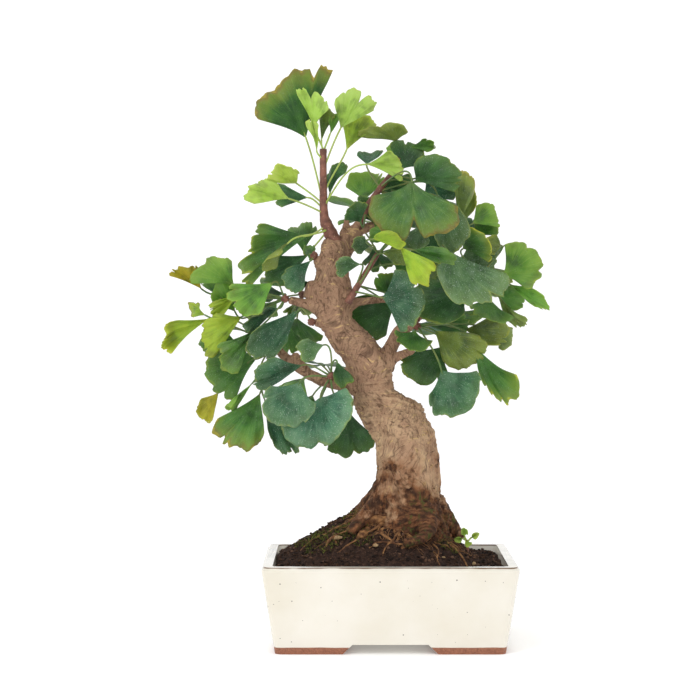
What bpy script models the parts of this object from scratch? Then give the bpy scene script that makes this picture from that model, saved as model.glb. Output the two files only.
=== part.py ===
"""Ginkgo bonsai in a glazed rectangular pot.

Lengths are written in millimetres, measured from the middle of the pot's underside, with X to the
viewer's right, Y away from the viewer and Z up from the table. MM turns them to metres, and POT_X
and POT_Y put the middle of the whole plant's bounding box over the origin.
"""
import math
import random

import bmesh
import bpy
from mathutils import Vector

MM = 0.001
CLEAR = 0.35  # gap kept between two pieces that rest on each other
POT_X = 27.45
POT_Y = -11.18

# Pot: a tapered stoneware tray on four corner feet
POT_TOP = (210, 160)
POT_FOOT = (189, 140)
POT_HEIGHT = 72
POT_WALL = 9
POT_FLOOR = 8
FOOT_HEIGHT = 8
FOOT_GAP_LONG = (78, 62)  # opening between the feet of a long side, at the table and at its top
FOOT_GAP_SHORT = (56, 42)
POT_CORNER = 6
DRAIN_RADIUS = 7
DRAIN_SPACING = 80

# Soil: filled to just under the rim and heaped round the trunk
SOIL_EDGE = 67
SOIL_CELLS = (15, 12)
MOUND_MIDDLE = (-4, 6)
MOUND_HEIGHT = 53
MOUND_REACH = (96, 82)
MOUND_ROUND = 0.9  # below 1 the heap is domed, above 1 it is hollow-sided
MOUND_RIGHT = 0.86  # how far the heap reaches on its right as a share of its left

# Trunk: (x, y, z, radius). The first rows are the plain cone that stands in the soil's hole
TRUNK = [
    (15, 0, 30, 40), (15, 0, 66, 40), (15, 0, 126, 24),
    (16, 0, 140, 25), (16, -1, 155, 24), (14, -1, 170, 23), (8, 0, 184, 22.5), (-5, 1, 194, 19.5),
    (-12, 2, 205, 17), (-14, 2, 218, 16), (-17, 2, 232, 17.5), (-25, 0, 245, 15.5),
    (-37, -1, 257, 13), (-44, -1, 268, 12.5), (-47, 0, 281, 15), (-48, 0, 295, 15.5),
    (-48, 0, 310, 12.3), (-48, 0, 325, 10), (-47, 0, 338, 7.5),
]
TRUNK_CONE_ROWS = 3
TRUNK_SIDES = 14
TRUNK_FLUTES = 4
TRUNK_FLUTE_DEPTH = 0.06
TRUNK_TWIST = 0.012  # radians of turn for each millimetre of height

# Limbs and roots that grew as one piece with the trunk: (x, y, z, radius)
LIMBS = {
    "left_spur": [(-50, -2, 280, 8), (-64, -4, 283, 5), (-76, -5, 286, 3.8), (-84, -6, 288, 3.2)],
    "burl": [(-52, -3, 290, 11), (-62, -4, 295, 9.5), (-70, -5, 298, 6.5)],
    "left_upper_spur": [(-50, -3, 312, 7), (-58, -4, 318, 4), (-61, -5, 322, 3)],
    "left_low_spur": [(-44, -2, 266, 8), (-57, -4, 268, 4), (-62, -6, 269, 3)],
    "dead_stub": [(-43, 2, 326, 6), (-38, 6, 340, 3.6), (-35, 7, 361, 2.4)],
    "crown_limb": [(-44, 4, 322, 7), (-36, 8, 340, 4.6), (-24, 10, 354, 3.4)],
    "mid_spur": [(-42, -4, 288, 9), (-34, -10, 291, 4.6), (-31, -14, 292, 3.4)],
    "peach_limb": [(-40, 4, 280, 8), (-26, 9, 286, 3.8), (-8, 12, 288, 3), (20, 14, 293, 2.8),
                   (50, 14, 300, 2.6), (72, 12, 305, 2.4)],
    "low_right_limb": [(-6, 2, 232, 10), (0, 0, 244, 6), (5, -4, 259, 4.4), (12, -6, 266, 4),
                       (20, -8, 266, 3.6)],
    "low_right_stub": [(-8, -2, 234, 8), (6, -6, 240, 4.4), (21, -8, 246, 3)],
    "low_left_limb": [(-14, 1, 212, 10), (-34, -2, 216, 6), (-57, -3, 220, 5), (-76, -4, 231, 4.6),
                      (-87, -4, 239, 4), (-93, -4, 246, 3.2)],
    "low_left_knob": [(-70, -4, 228, 4.6), (-77, -5, 237, 4), (-79, -6, 243, 3)],
    "inner_left_twig": [(-34, -3, 216, 5), (-44, -10, 221, 3.6), (-47, -15, 223, 3)],
    "cut_scar": [(16, -14, 150, 10), (13, -21, 142, 8), (11, -27, 134, 6)],
    "back_crown": [(-32, 9, 344, 4.4), (-6, 24, 354, 3.8), (16, 36, 366, 3.2)],
    "back_far_right": [(46, 15, 299, 3), (58, 27, 308, 3.2), (66, 38, 318, 3)],
    "back_top": [(-46, 4, 306, 9), (-36, 22, 326, 4.4), (-24, 36, 346, 3.2)],
    "back_middle": [(-47, 6, 285, 10), (-58, 24, 290, 5), (-72, 40, 292, 3.2)],
    "back_right": [(-8, 8, 232, 9), (6, 26, 252, 5), (24, 44, 270, 3.2)],
    "back_low_left": [(-18, 6, 226, 10), (-32, 24, 226, 5), (-46, 42, 222, 3.2)],
    "left_root": [(6, -4, 132, 15), (-8, -12, 120, 8), (-22, -24, 104, 5.5), (-32, -36, 94, 3.5)],
    "front_root": [(20, -8, 118, 15), (32, -30, 100, 8), (26, -44, 88, 4), (12, -52, 82, 3)],
    "right_root": [(24, 2, 118, 16), (42, 5, 100, 11), (54, 8, 88, 6), (62, 12, 82, 3.4)],
    "back_root": [(18, 8, 124, 15), (26, 30, 102, 10), (34, 46, 88, 5)],
    "back_left_root": [(6, 6, 132, 15), (-12, 24, 118, 7), (-30, 42, 100, 4)],
}
LIMB_ROUNDNESS = 1  # bevel resolution, which makes six sides
LIMB_STEPS = 2
ROOT_GAP = 2.4

# Leaves. A reading of x and z taken against the pot's middle plane is moved along the line of
# sight from EYE to the depth of the leaf
EYE = (-33, -1738, 300)
BLADE = 0.7  # thickness
STALK = 0.95  # radius
BUD = 3.2
BUD_GAP = 0.4
STALK_STEPS = 3
COLUMNS = 5
SMALL_COLUMNS = 4
SMALL_LEAF = 25
CLEFT_WIDTH = 0.16
SCALLOP = 0.025
SIDE_WAIST = 0.22  # how far the blade's sides draw in towards the stalk


def leaf(base, left, middle, right, depth, lean=8, turn=0, root=None, via=None, cup=3,
         cleft=0.0, cleft_at=0.0):
    """One leaf: where its stalk meets the blade, and the left, middle and right of its outer edge.

    lean brings the outer edge nearer than the base, and turn brings the left corner nearer.
    """
    return {
        "base": to_depth(base, depth + lean / 2),
        "left": to_depth(left, depth - lean * 0.3 - turn / 2),
        "middle": to_depth(middle, depth - lean / 2),
        "right": to_depth(right, depth - lean * 0.3 + turn / 2),
        "root": root, "via": via, "cup": cup, "cleft": cleft, "cleft_at": cleft_at,
    }


def to_depth(reading, depth):
    share = (depth - EYE[1]) / -EYE[1]
    x = EYE[0] + (reading[0] - EYE[0]) * share
    z = EYE[2] + (reading[1] - EYE[2]) * share
    return Vector((x, depth, z))


APEX_LEAVES = [
    leaf((-70, 424), (-118, 447), (-88, 475), (-48, 491), 8, 10, 14, (-55, 0, 366), cup=6),
    leaf((-63, 433), (-78, 464), (-69, 462), (-51, 451), -8, 8, 4, (-55.5, -1, 414), cleft=.3,
         cleft_at=.1),
    leaf((-61, 413), (-71, 436), (-67, 438), (-63, 436), -5, 4, 8, (-55.5, -1, 405)),
    leaf((-57, 422), (-60, 446), (-55, 449), (-48, 444), 8, 4, 6, (-55.5, 0, 412)),
    leaf((-50, 427), (-49.5, 441), (-44, 446), (-39, 445), 4, 4, -10, (-55.5, 0, 412)),
    leaf((-41, 432), (-45, 456), (-25, 462), (-11, 450), -8, 10, 0, (-55, 0, 398), cleft=.3,
         cleft_at=.2),
    leaf((-36, 414), (-38, 436), (-24, 444), (-11, 434), 4, -8, 0, (-54, 1, 380), cup=5),
    leaf((-19, 402), (1, 413), (9, 402), (12, 389), -12, 8, 0, (-54, -1, 368), via=(-40, -8, 392)),
    leaf((-78, 386), (-105, 391), (-95, 398), (-80, 401), -10, 26, 8, (-55, -1, 368)),
    leaf((-84, 373), (-117, 370), (-113, 382), (-99, 390), -18, 20, 10, (-54, -1, 360)),
    leaf((-68, 374), (-93, 366), (-98, 377), (-93, 386), 12, -14, 0, (-55, 1, 364)),
    leaf((-50, 377), (-52, 392), (-43, 402), (-35, 397), 12, -6, -8, (-54, 1, 364)),
    leaf((-68, 342), (-109, 352), (-119, 331), (-122, 302), -10, 12, 6, (-52, -2, 350),
         cleft=.14, cleft_at=.2, cup=5),
    leaf((-85, 336), (-95, 330), (-104, 316), (-97, 317), -26, 4, 14, (-52, -3, 347),
         via=(-66, -14, 340)),
    leaf((-72, 328), (-86, 345), (-73, 352), (-61, 348), 14, -10, 0, (-52, 3, 346),
         via=(-60, 18, 338)),
]
LEFT_UPPER_LEAVES = [
    leaf((-67, 322), (-72, 328), (-66, 334), (-62, 329), 2, -14, 0, cup=1),
    leaf((-68, 326), (-97, 324), (-102, 309), (-88, 300), 2, -6, 0),
    leaf((-66, 321), (-85, 315), (-87, 304), (-75, 294), -16, 12, 8, cup=5),
]
LEFT_SHOOT_LEAVES = [
    leaf((-97, 303), (-134, 300), (-128, 283), (-111, 274), -20, 14, 4, cup=5),
    leaf((-131, 301), (-169, 304), (-153, 319), (-135, 323), -8, 8, 6),
    leaf((-158, 297), (-188, 312), (-176, 313), (-164, 319), 4, 18, 10),
    leaf((-143, 291), (-158, 300), (-150, 304), (-142, 302), 12, -12, 0, via=(-118, 14, 292)),
    leaf((-129, 291), (-147, 287), (-150, 280), (-142, 274), -3, 14, 0),
    leaf((-110, 264), (-141, 250), (-140, 237), (-132, 223), -22, 12, 10, via=(-96, -14, 276)),
    leaf((-92, 281), (-108, 281), (-119, 268), (-120, 258), -8, 10, 10),
    leaf((-88, 293), (-100, 300), (-106, 294), (-102, 286), 8, -14, 0),
]
LEFT_LOW_SPUR_LEAVES = [
    leaf((-76, 280), (-116, 262), (-113, 241), (-90, 248), -14, 14, 8, via=(-68, -12, 276),
         cup=6),
]
LOW_LEFT_LEAVES = [
    leaf((-124, 274), (-149, 276), (-155, 257), (-149, 240), -12, 10, 0, via=(-110, -4, 262)),
    leaf((-138, 262), (-155, 263), (-158, 252), (-150, 240), 12, -8, 0),
    leaf((-152, 272), (-188, 269), (-192, 256), (-191, 242), -6, 12, 4, via=(-124, 2, 268),
         cup=5),
    leaf((-155, 275), (-161, 286), (-168, 282), (-164, 273), 10, -16, 0, via=(-128, 10, 266)),
    leaf((-112, 238), (-143, 262), (-152, 232), (-134, 205), 5, 10, 4, via=(-104, 8, 246), cup=5),
    leaf((-115, 218), (-137, 199), (-134, 196), (-129, 195), -14, 4, 12, via=(-110, -8, 240)),
    leaf((-109, 209), (-148, 183), (-132, 164), (-107, 171), -8, 14, 8, via=(-107, -6, 238),
         cup=5),
    leaf((-106, 206), (-101, 172), (-88, 160), (-77, 164), 6, 8, 0, via=(-104, 6, 232)),
    leaf((-144, 210), (-160, 203), (-157, 188), (-149, 186), 16, -8, 0, via=(-120, 18, 236)),
]
INNER_LEFT_LEAVES = [
    leaf((-75, 219), (-105, 211), (-93, 184), (-65, 196), -34, 12, 8, cup=5),
    leaf((-58, 206), (-89, 178), (-62, 165), (-31, 209), -26, 14, -8, cleft=.15, cleft_at=.0,
         cup=6),
    leaf((-44, 236), (-47, 222), (-38, 217), (-30, 222), -27, 10, 0, via=(-50, -18, 236)),
    leaf((-55, 250), (-72, 255), (-76, 244), (-67, 235), -16, 12, 0, via=(-48, -18, 236)),
    leaf((-73, 233), (-100, 240), (-112, 224), (-108, 213), -22, 12, 6, via=(-62, -22, 232)),
    leaf((-34, 194), (-56, 172), (-34, 157), (-11, 169), 18, -4, 0, via=(-49, -30, 196),
         cleft=.15, cleft_at=.15),
]
CROWN_LEAVES = [
    leaf((6, 421), (-26, 425), (-6, 434), (15, 430), 4, 16, 0, (7.2, 6.1, 405.2), cup=2),
    leaf((17, 416), (31, 424), (37, 419), (35, 413), 6, 14, 0, (6.6, 6, 402.6)),
    leaf((4, 408), (-1, 412), (1, 420), (6, 419), 24, -6, 0, (4, 8, 398)),
    leaf((11, 398), (0, 418), (20, 419), (31, 403), 6, -8, 0, (4, 7, 396)),
    leaf((19, 388), (-18, 368), (22, 340), (60, 362), -44, 12, 0, (-6, 6, 384),
         via=(6, -32, 394), cleft=.42, cup=5),
    leaf((22, 388), (22, 404), (50, 403), (59, 380), -18, 10, 0, (-4, 6, 386), via=(8, -10, 394)),
    leaf((40, 378), (61, 362), (56, 331), (36, 342), -12, 4, -8, (-8, 8, 380),
         via=(20, -4, 388)),
    leaf((-19, 402), (-27, 408), (-17, 413), (-5, 410), 18, -14, 0, (-8, 9, 382)),
    leaf((59, 353), (54, 386), (63, 395), (71, 378), 3, -6, 0, (-8, 9, 380), via=(30, 6, 372)),
    leaf((24, 392), (22, 405), (32, 407), (42, 401), -6, 8, 0, (2, 7, 394)),
    leaf((70, 352), (75, 369), (89, 364), (92, 350), 10, -6, 0, (-10, 10, 376),
         via=(40, -10, 372)),
    leaf((-24, 353), (-38, 357), (-30, 368), (-19, 370), -12, 4, 0, (-20, 9, 361),
         via=(-22, -10, 346)),
]
MID_LEAVES = [
    leaf((-6, 290), (11, 313), (27, 284), (14, 260), -38, 10, -8, (-29, -18, 295),
         via=(-18, -32, 293), cup=5),
    leaf((-6, 327), (4, 333), (16, 324), (7, 317), -30, 18, 0, (-26, -17, 300),
         via=(-14, -34, 318), cup=1),
    leaf((20, 330), (36, 333), (55, 322), (40, 319), -52, 8, 0, (-9, -15, 327)),
    leaf((9, 333), (39, 318), (32, 307), (21, 300), -56, 12, 0, (-9, -16, 327),
         via=(2, -40, 336)),
    leaf((-14, 334), (-24, 342), (-30, 334), (-26, 327), -26, 12, 0, (-10, -16, 326)),
    leaf((-24, 318), (-38, 325), (-44, 316), (-42, 307), -30, 12, 0, (-28, -17, 298)),
    leaf((2, 344), (-10, 350), (-16, 341), (-10, 336), -16, 10, 0, (-9, -14, 327)),
    leaf((27, 352), (34, 336), (22, 332), (11, 341), -22, 8, 0, (-9, -14.5, 326),
         via=(10, -18, 352)),
    leaf((4, 318), (10, 325), (17, 316), (8, 310), -12, 6, 0, (-18, -16, 313)),
]
PEACH_LEAVES = [
    leaf((96, 309), (101, 337), (127, 319), (118, 298), 0, 8, -8, cleft=.16, cleft_at=.2),
    leaf((102, 301), (125, 297), (136, 279), (122, 282), 6, 10, 0, via=(90, 10, 306)),
    leaf((90, 292), (100, 300), (112, 288), (103, 279), 18, -6, 0),
    leaf((84, 290), (68, 282), (84, 272), (103, 271), -12, 16, 0),
    leaf((91, 294), (116, 271), (112, 266), (106, 265), -2, 2, 10),
    leaf((69, 293), (41, 309), (24, 285), (58, 273), -16, 14, 6, via=(76, -4, 302), cup=5),
    leaf((62, 331), (61, 350), (80, 341), (86, 321), -2, 10, 0, via=(72, 10, 318)),
    leaf((94, 334), (88, 343), (82, 336), (86, 326), 12, 12, 0, via=(82, 14, 316)),
]
RIGHT_LEAVES = [
    leaf((48, 331), (101, 306), (82, 290), (40, 309), -38, 12, -8, via=(54, -8, 314),
         cleft=.16, cleft_at=-.2, cup=6),
]
LOW_RIGHT_LEAVES = [
    leaf((22, 262), (4, 260), (16, 246), (35, 250), -18, 16, 0),
    leaf((46, 249), (9, 241), (20, 223), (47, 222), 4, 10, 6, via=(36, 2, 260)),
    leaf((38, 262), (76, 258), (77, 240), (48, 234), -12, 12, 0),
    leaf((72, 250), (108, 216), (97, 203), (78, 219), -18, 12, -6, via=(50, -12, 274),
         cleft=.14, cleft_at=.1, cup=5),
    leaf((44, 229), (77, 223), (54, 190), (34, 201), -32, 12, 0, via=(34, -30, 250), cup=5),
    leaf((64, 263), (91, 275), (98, 260), (84, 249), -4, 14, 0, via=(42, -2, 272)),
    leaf((34, 266), (46, 274), (68, 271), (56, 258), 10, -12, 0),
    leaf((88, 262), (101, 266), (104, 254), (94, 246), 8, -8, 0, via=(52, 8, 268)),
]
SHOOTS = {
    "apex_shoot": {"seat": "trunk_top", "leaves": APEX_LEAVES,
                   "stem": [(-48, 0, 341, 6), (-53, 0, 352, 5), (-55, 0, 362, 3.6),
                            (-55.5, 0, 390, 3), (-55.5, 0, 415, 3)]},
    "left_upper_shoot": {"seat": "left_upper_spur", "leaves": LEFT_UPPER_LEAVES},
    "left_shoot": {"seat": "left_spur", "leaves": LEFT_SHOOT_LEAVES},
    "left_low_spur_shoot": {"seat": "left_low_spur", "leaves": LEFT_LOW_SPUR_LEAVES},
    "low_left_shoot": {"seat": "low_left_limb", "leaves": LOW_LEFT_LEAVES},
    "inner_left_shoot": {"seat": "inner_left_twig", "leaves": INNER_LEFT_LEAVES},
    "crown_shoot": {"seat": "crown_limb", "leaves": CROWN_LEAVES,
                    "stem": [(-23, 10, 356, 3.2), (-19, 9, 366, 3), (-6, 7, 384, 2.6),
                             (4, 6, 397, 2.4), (8, 6, 408, 2)]},
    "mid_shoot": {"seat": "mid_spur", "leaves": MID_LEAVES,
                  "stem": [(-30.5, -17.5, 293, 3), (-24, -17, 304, 2.4), (-9, -15, 328, 2.2)]},
    "peach_shoot": {"seat": "peach_limb", "leaves": PEACH_LEAVES + RIGHT_LEAVES},
    "low_right_shoot": {"seat": "low_right_limb", "leaves": LOW_RIGHT_LEAVES},
}

# Shoots of the far side: (seat, seed, leaves, stalk length, blade length), placed by a rule
BACK_SHOOTS = {
    "back_top_shoot": ("back_top", 3, 7, 26, 31),
    "back_middle_shoot": ("back_middle", 5, 7, 26, 32),
    "back_right_shoot": ("back_right", 7, 7, 30, 33),
    "back_low_left_shoot": ("back_low_left", 11, 7, 24, 30),
    "back_crown_shoot": ("back_crown", 19, 6, 20, 30),
    "back_far_right_shoot": ("back_far_right", 17, 6, 20, 28),
}
SHARP_EDGE = math.radians(40)
GOLDEN_ANGLE = math.radians(137.5)

# Weed seedling by the trunk: (base, left, middle, right, depth) of each small round leaf
WEED_ROOT = (66, -8)
WEED_HEIGHT = 86
WEED_LEAVES = [
    leaf((64, 88), (60, 92), (63, 97), (68, 93), -8, 6),
    leaf((62, 86), (57, 88), (54, 85), (58, 81), -8, 6),
    leaf((70, 87), (72, 92), (77, 91), (76, 86), -6, 6),
    leaf((67, 84), (63, 82), (66, 77.5), (71, 80), -16, 6),
]

# Colours as sRGB values, with roughness
GLAZE = ((0.93, 0.91, 0.86), 0.22)
EARTH = ((0.17, 0.12, 0.09), 0.95)
BARK = ((0.56, 0.43, 0.32), 0.85)
FOLIAGE = ((0.35, 0.52, 0.22), 0.5)
YOUNG_FOLIAGE = ((0.62, 0.76, 0.33), 0.5)


def clear_scene():
    for old in list(bpy.data.objects):
        bpy.data.objects.remove(old)


def new_collection(name, helper):
    group = bpy.data.collections.new(name)
    bpy.context.scene.collection.children.link(group)
    group.hide_render = helper
    return group


def to_scene(point):
    """Millimetres from the pot's middle to metres in the part's frame."""
    return Vector((point[0] + POT_X, point[1] + POT_Y, point[2])) * MM


def shade_round(mesh):
    """Smooth shading that keeps the edges where two faces meet at more than SHARP_EDGE."""
    mesh.shade_smooth()
    mesh.set_sharp_from_angle(angle=SHARP_EDGE)


def add_mesh(name, points, faces, group):
    """A closed mesh with its faces turned outwards."""
    mesh = bpy.data.meshes.new(name)
    mesh.from_pydata([to_scene(point) for point in points], [], faces)
    solid = bmesh.new()
    solid.from_mesh(mesh)
    bmesh.ops.recalc_face_normals(solid, faces=solid.faces)
    solid.to_mesh(mesh)
    solid.free()
    shade_round(mesh)
    result = bpy.data.objects.new(name, mesh)
    group.objects.link(result)
    return result


def make_helper(result):
    result.hide_render = True
    result.display_type = "WIRE"


def combine(target, other, operation):
    cut = target.modifiers.new(other.name, "BOOLEAN")
    cut.operation = operation
    cut.solver = "EXACT"
    if isinstance(other, bpy.types.Collection):
        cut.operand_type = "COLLECTION"
        cut.collection = other
    else:
        cut.object = other


def add_material(target, name, surface):
    material = bpy.data.materials.new(name)
    material.use_nodes = True
    shader = material.node_tree.nodes["Principled BSDF"]
    linear = [channel ** 2.2 for channel in surface[0]]
    shader.inputs["Base Color"].default_value = (*linear, 1)
    shader.inputs["Roughness"].default_value = surface[1]
    target.data.materials.append(material)


def new_object(name, solid, group):
    """An object from a bmesh built in millimetres from the pot's middle."""
    for vertex in solid.verts:
        vertex.co = to_scene(vertex.co)
    bmesh.ops.recalc_face_normals(solid, faces=solid.faces)
    mesh = bpy.data.meshes.new(name)
    solid.to_mesh(mesh)
    solid.free()
    shade_round(mesh)
    result = bpy.data.objects.new(name, mesh)
    group.objects.link(result)
    return result


def tapered_block(name, low_size, top_size, low, top, corner, group):
    """A block from height low to top whose two ends differ in size, with rounded uprights."""
    solid = bmesh.new()
    bmesh.ops.create_cube(solid, size=1)
    for vertex in solid.verts:
        width, depth = top_size if vertex.co.z > 0 else low_size
        vertex.co.x *= width
        vertex.co.y *= depth
        vertex.co.z = top if vertex.co.z > 0 else low
    if corner:
        uprights = [edge for edge in solid.edges
                    if abs(edge.verts[0].co.z - edge.verts[1].co.z) > 1]
        bmesh.ops.bevel(solid, geom=uprights, offset=corner, segments=3, profile=0.5,
                        affect="EDGES")
    return new_object(name, solid, group)


def round_bar(name, middle, low, top, low_radius, top_radius, sides, group):
    """An upright cylinder or cone between two heights."""
    solid = bmesh.new()
    bmesh.ops.create_cone(solid, cap_ends=True, segments=sides, radius1=low_radius,
                          radius2=top_radius, depth=top - low)
    bmesh.ops.translate(solid, verts=solid.verts,
                        vec=(middle[0], middle[1], (low + top) / 2))
    return new_object(name, solid, group)


def tube(name, rows, group, steps=LIMB_STEPS):
    """A tapered limb through rows of x, y, z and radius, made as a curve and turned to a mesh."""
    rows = smooth_rows(rows, steps)
    curve = bpy.data.curves.new(name, "CURVE")
    curve.dimensions = "3D"
    curve.bevel_depth = MM
    curve.bevel_resolution = LIMB_ROUNDNESS
    curve.use_fill_caps = True
    spline = curve.splines.new("POLY")
    spline.points.add(len(rows) - 1)
    for point, row in zip(spline.points, rows):
        point.co = (*to_scene(row), 1)
        point.radius = row[3]
    wire = bpy.data.objects.new(f"{name}_curve", curve)
    group.objects.link(wire)
    bpy.context.view_layer.update()
    graph = bpy.context.evaluated_depsgraph_get()
    mesh = bpy.data.meshes.new_from_object(wire.evaluated_get(graph))
    bpy.data.objects.remove(wire)
    solid = bmesh.new()
    solid.from_mesh(mesh)
    bmesh.ops.remove_doubles(solid, verts=solid.verts, dist=0.01 * MM)
    bmesh.ops.recalc_face_normals(solid, faces=solid.faces)
    solid.to_mesh(mesh)
    solid.free()
    result = bpy.data.objects.new(name, mesh)
    group.objects.link(result)
    return result


def loft(name, rings, group):
    """A closed body through rings that have the same number of points."""
    count = len(rings[0])
    points = [point for ring in rings for point in ring]
    faces = [list(range(count))[::-1]]
    for row in range(len(rings) - 1):
        for column in range(count):
            first = row * count + column
            second = row * count + (column + 1) % count
            faces.append([first, second, second + count, first + count])
    faces.append([(len(rings) - 1) * count + column for column in range(count)])
    return add_mesh(name, points, faces, group)


def inner_size(height, inset):
    """Width and depth of the pot's cavity at a height, drawn in by inset on every side."""
    share = height / POT_HEIGHT
    width = POT_FOOT[0] + (POT_TOP[0] - POT_FOOT[0]) * share
    depth = POT_FOOT[1] + (POT_TOP[1] - POT_FOOT[1]) * share
    return width - 2 * (POT_WALL + inset), depth - 2 * (POT_WALL + inset)


def make_pot(parts, cutters):
    rim = POT_HEIGHT - 2.5
    pot = tapered_block("pot", POT_FOOT, POT_TOP, 0, rim, POT_CORNER, parts)
    bevelled_rim = tapered_block("rim", POT_TOP, (POT_TOP[0] - 4, POT_TOP[1] - 4), rim - 1.5,
                                 POT_HEIGHT, POT_CORNER, cutters)
    combine(pot, bevelled_rim, "UNION")
    floor = FOOT_HEIGHT + POT_FLOOR
    cavity = tapered_block("cavity", inner_size(floor, 0), inner_size(POT_HEIGHT + 2, 0), floor,
                           POT_HEIGHT + 2, 4, cutters)
    combine(pot, cavity, "DIFFERENCE")
    for name, gap, across in (("long", FOOT_GAP_LONG, 0), ("short", FOOT_GAP_SHORT, 1)):
        low_size, top_size = ((260, wide) if across else (wide, 260) for wide in gap)
        opening = tapered_block(f"{name}_foot_opening", low_size, top_size, -0.01, FOOT_HEIGHT, 0,
                                cutters)
        combine(pot, opening, "DIFFERENCE")
    for side in (-1, 1):
        hole = round_bar(f"drain_{'left' if side < 0 else 'right'}", (side * DRAIN_SPACING / 2, 0),
                         FOOT_HEIGHT - 3, floor + 3, DRAIN_RADIUS, DRAIN_RADIUS, 24, cutters)
        combine(pot, hole, "DIFFERENCE")
    add_material(pot, "cream_glaze", GLAZE)


def soil_height(x, y):
    """Height of the soil, heaped round the trunk and steeper on its right."""
    reach = MOUND_REACH[0] * (1 if x < MOUND_MIDDLE[0] else MOUND_RIGHT)
    away = math.hypot((x - MOUND_MIDDLE[0]) / reach, (y - MOUND_MIDDLE[1]) / MOUND_REACH[1])
    heap = MOUND_HEIGHT * max(0, 1 - away) ** MOUND_ROUND
    lump = 1.2 * math.sin(x * 0.13 + 1) * math.sin(y * 0.17)
    return SOIL_EDGE + heap + lump


def make_soil(parts, cutters):
    """A slab whose top is moved to the soil's height, with plain holes for what stands in it."""
    floor = FOOT_HEIGHT + POT_FLOOR + CLEAR
    size = inner_size(floor, CLEAR + 0.4)
    solid = bmesh.new()
    bmesh.ops.create_grid(solid, x_segments=SOIL_CELLS[0], y_segments=SOIL_CELLS[1], size=0.5)
    below = bmesh.ops.extrude_face_region(solid, geom=solid.faces[:], use_keep_orig=True)
    below = {item for item in below["geom"] if isinstance(item, bmesh.types.BMVert)}
    wider = inner_size(SOIL_EDGE, CLEAR + 0.4)
    for vertex in solid.verts:
        across, deep = size if vertex in below else wider
        x, y = round_corner(vertex.co.x * across, vertex.co.y * deep, (across, deep), 5)
        vertex.co = (x, y, floor if vertex in below else soil_height(x, y))
    soil = new_object("soil", solid, parts)
    (x, y, low, _), (_, _, middle, radius), (_, _, top, narrow) = TRUNK[:TRUNK_CONE_ROWS]
    gap = CLEAR + 0.2
    straight = round_bar("stock_hole", (x, y), low - gap, middle + 0.01, radius + gap,
                         radius + gap, TRUNK_SIDES * 2, cutters)
    cone = round_bar("cone_hole", (x, y), middle, top, radius + gap, narrow + gap,
                     TRUNK_SIDES * 2, cutters)
    weed_hole = round_bar("weed_hole", WEED_ROOT, 56, 100, 1.6, 1.6, 8, cutters)
    for hole in (straight, cone, weed_hole):
        combine(soil, hole, "DIFFERENCE")
    add_material(soil, "potting_soil", EARTH)


def round_corner(x, y, size, corner):
    """Draws a point near a corner of a rectangle in to its rounded outline."""
    over_x = abs(x) - (size[0] / 2 - corner)
    over_y = abs(y) - (size[1] / 2 - corner)
    if over_x <= 0 or over_y <= 0:
        return x, y
    share = max(over_x, over_y) / math.hypot(over_x, over_y)
    return (math.copysign(size[0] / 2 - corner + over_x * share, x),
            math.copysign(size[1] / 2 - corner + over_y * share, y))


def ring_round(middle, radius, sides):
    return [(middle[0] + radius * math.cos(math.tau * side / sides),
             middle[1] + radius * math.sin(math.tau * side / sides), middle[2])
            for side in range(sides)]


def smooth_rows(rows, steps):
    """Rows of numbers with a smooth curve put through them."""
    result = []
    for place in range(len(rows) - 1):
        before = rows[max(place - 1, 0)]
        first = rows[place]
        second = rows[place + 1]
        after = rows[min(place + 2, len(rows) - 1)]
        for step in range(steps):
            t = step / steps
            result.append([0.5 * (2 * b + (c - a) * t + (2 * a - 5 * b + 4 * c - d) * t * t
                                  + (3 * b - a - 3 * c + d) * t ** 3)
                           for a, b, c, d in zip(before, first, second, after)])
    result.append(list(rows[-1]))
    return result


def fluted_rings(rows, sides):
    """Rings square to the trunk's path, with shallow flutes that turn as they climb."""
    path = [Vector(row[:3]) for row in rows]
    rings = []
    for place, row in enumerate(rows):
        ahead = path[min(place + 1, len(path) - 1)] - path[max(place - 1, 0)]
        across = Vector((0, 1, 0)).cross(ahead).normalized()
        other = ahead.normalized().cross(across)
        ring = []
        for side in range(sides):
            angle = math.tau * side / sides
            twist = TRUNK_FLUTES * (angle + row[2] * TRUNK_TWIST)
            radius = row[3] * (1 + TRUNK_FLUTE_DEPTH * math.sin(twist))
            ring.append(path[place] + across * radius * math.cos(angle)
                        + other * radius * math.sin(angle))
        rings.append(ring)
    return rings


def make_trunk(parts, helpers):
    """The stock that stands in the soil, the trunk, its limbs and its roots as one grown body."""
    (x, y, low, _), (_, _, middle, radius), (_, _, top, narrow) = TRUNK[:TRUNK_CONE_ROWS]
    trunk = round_bar("trunk", (x, y), low, middle + 0.01, radius, radius, TRUNK_SIDES * 2, parts)
    round_bar("trunk_cone", (x, y), middle, top, radius, narrow, TRUNK_SIDES * 2, helpers)
    first = ring_round((x, y, top - 12), narrow + 1.5, TRUNK_SIDES)
    loft("trunk_upper", [first] + fluted_rings(TRUNK[TRUNK_CONE_ROWS:], TRUNK_SIDES), helpers)
    for name, rows in LIMBS.items():
        if name.endswith("root"):
            rows = [rows[0]] + [lift_root(row) for row in rows[1:]]
        tube(f"limb_{name}", rows, helpers)
    for helper in helpers.objects:
        make_helper(helper)
    combine(trunk, helpers, "UNION")
    add_material(trunk, "bark", BARK)


def lift_root(row):
    """Keeps a surface root clear of the soil it runs over."""
    x, y, z, radius = row
    return (x, y, max(z, soil_height(x, y) + radius * 1.05 + ROOT_GAP), radius)


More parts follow.
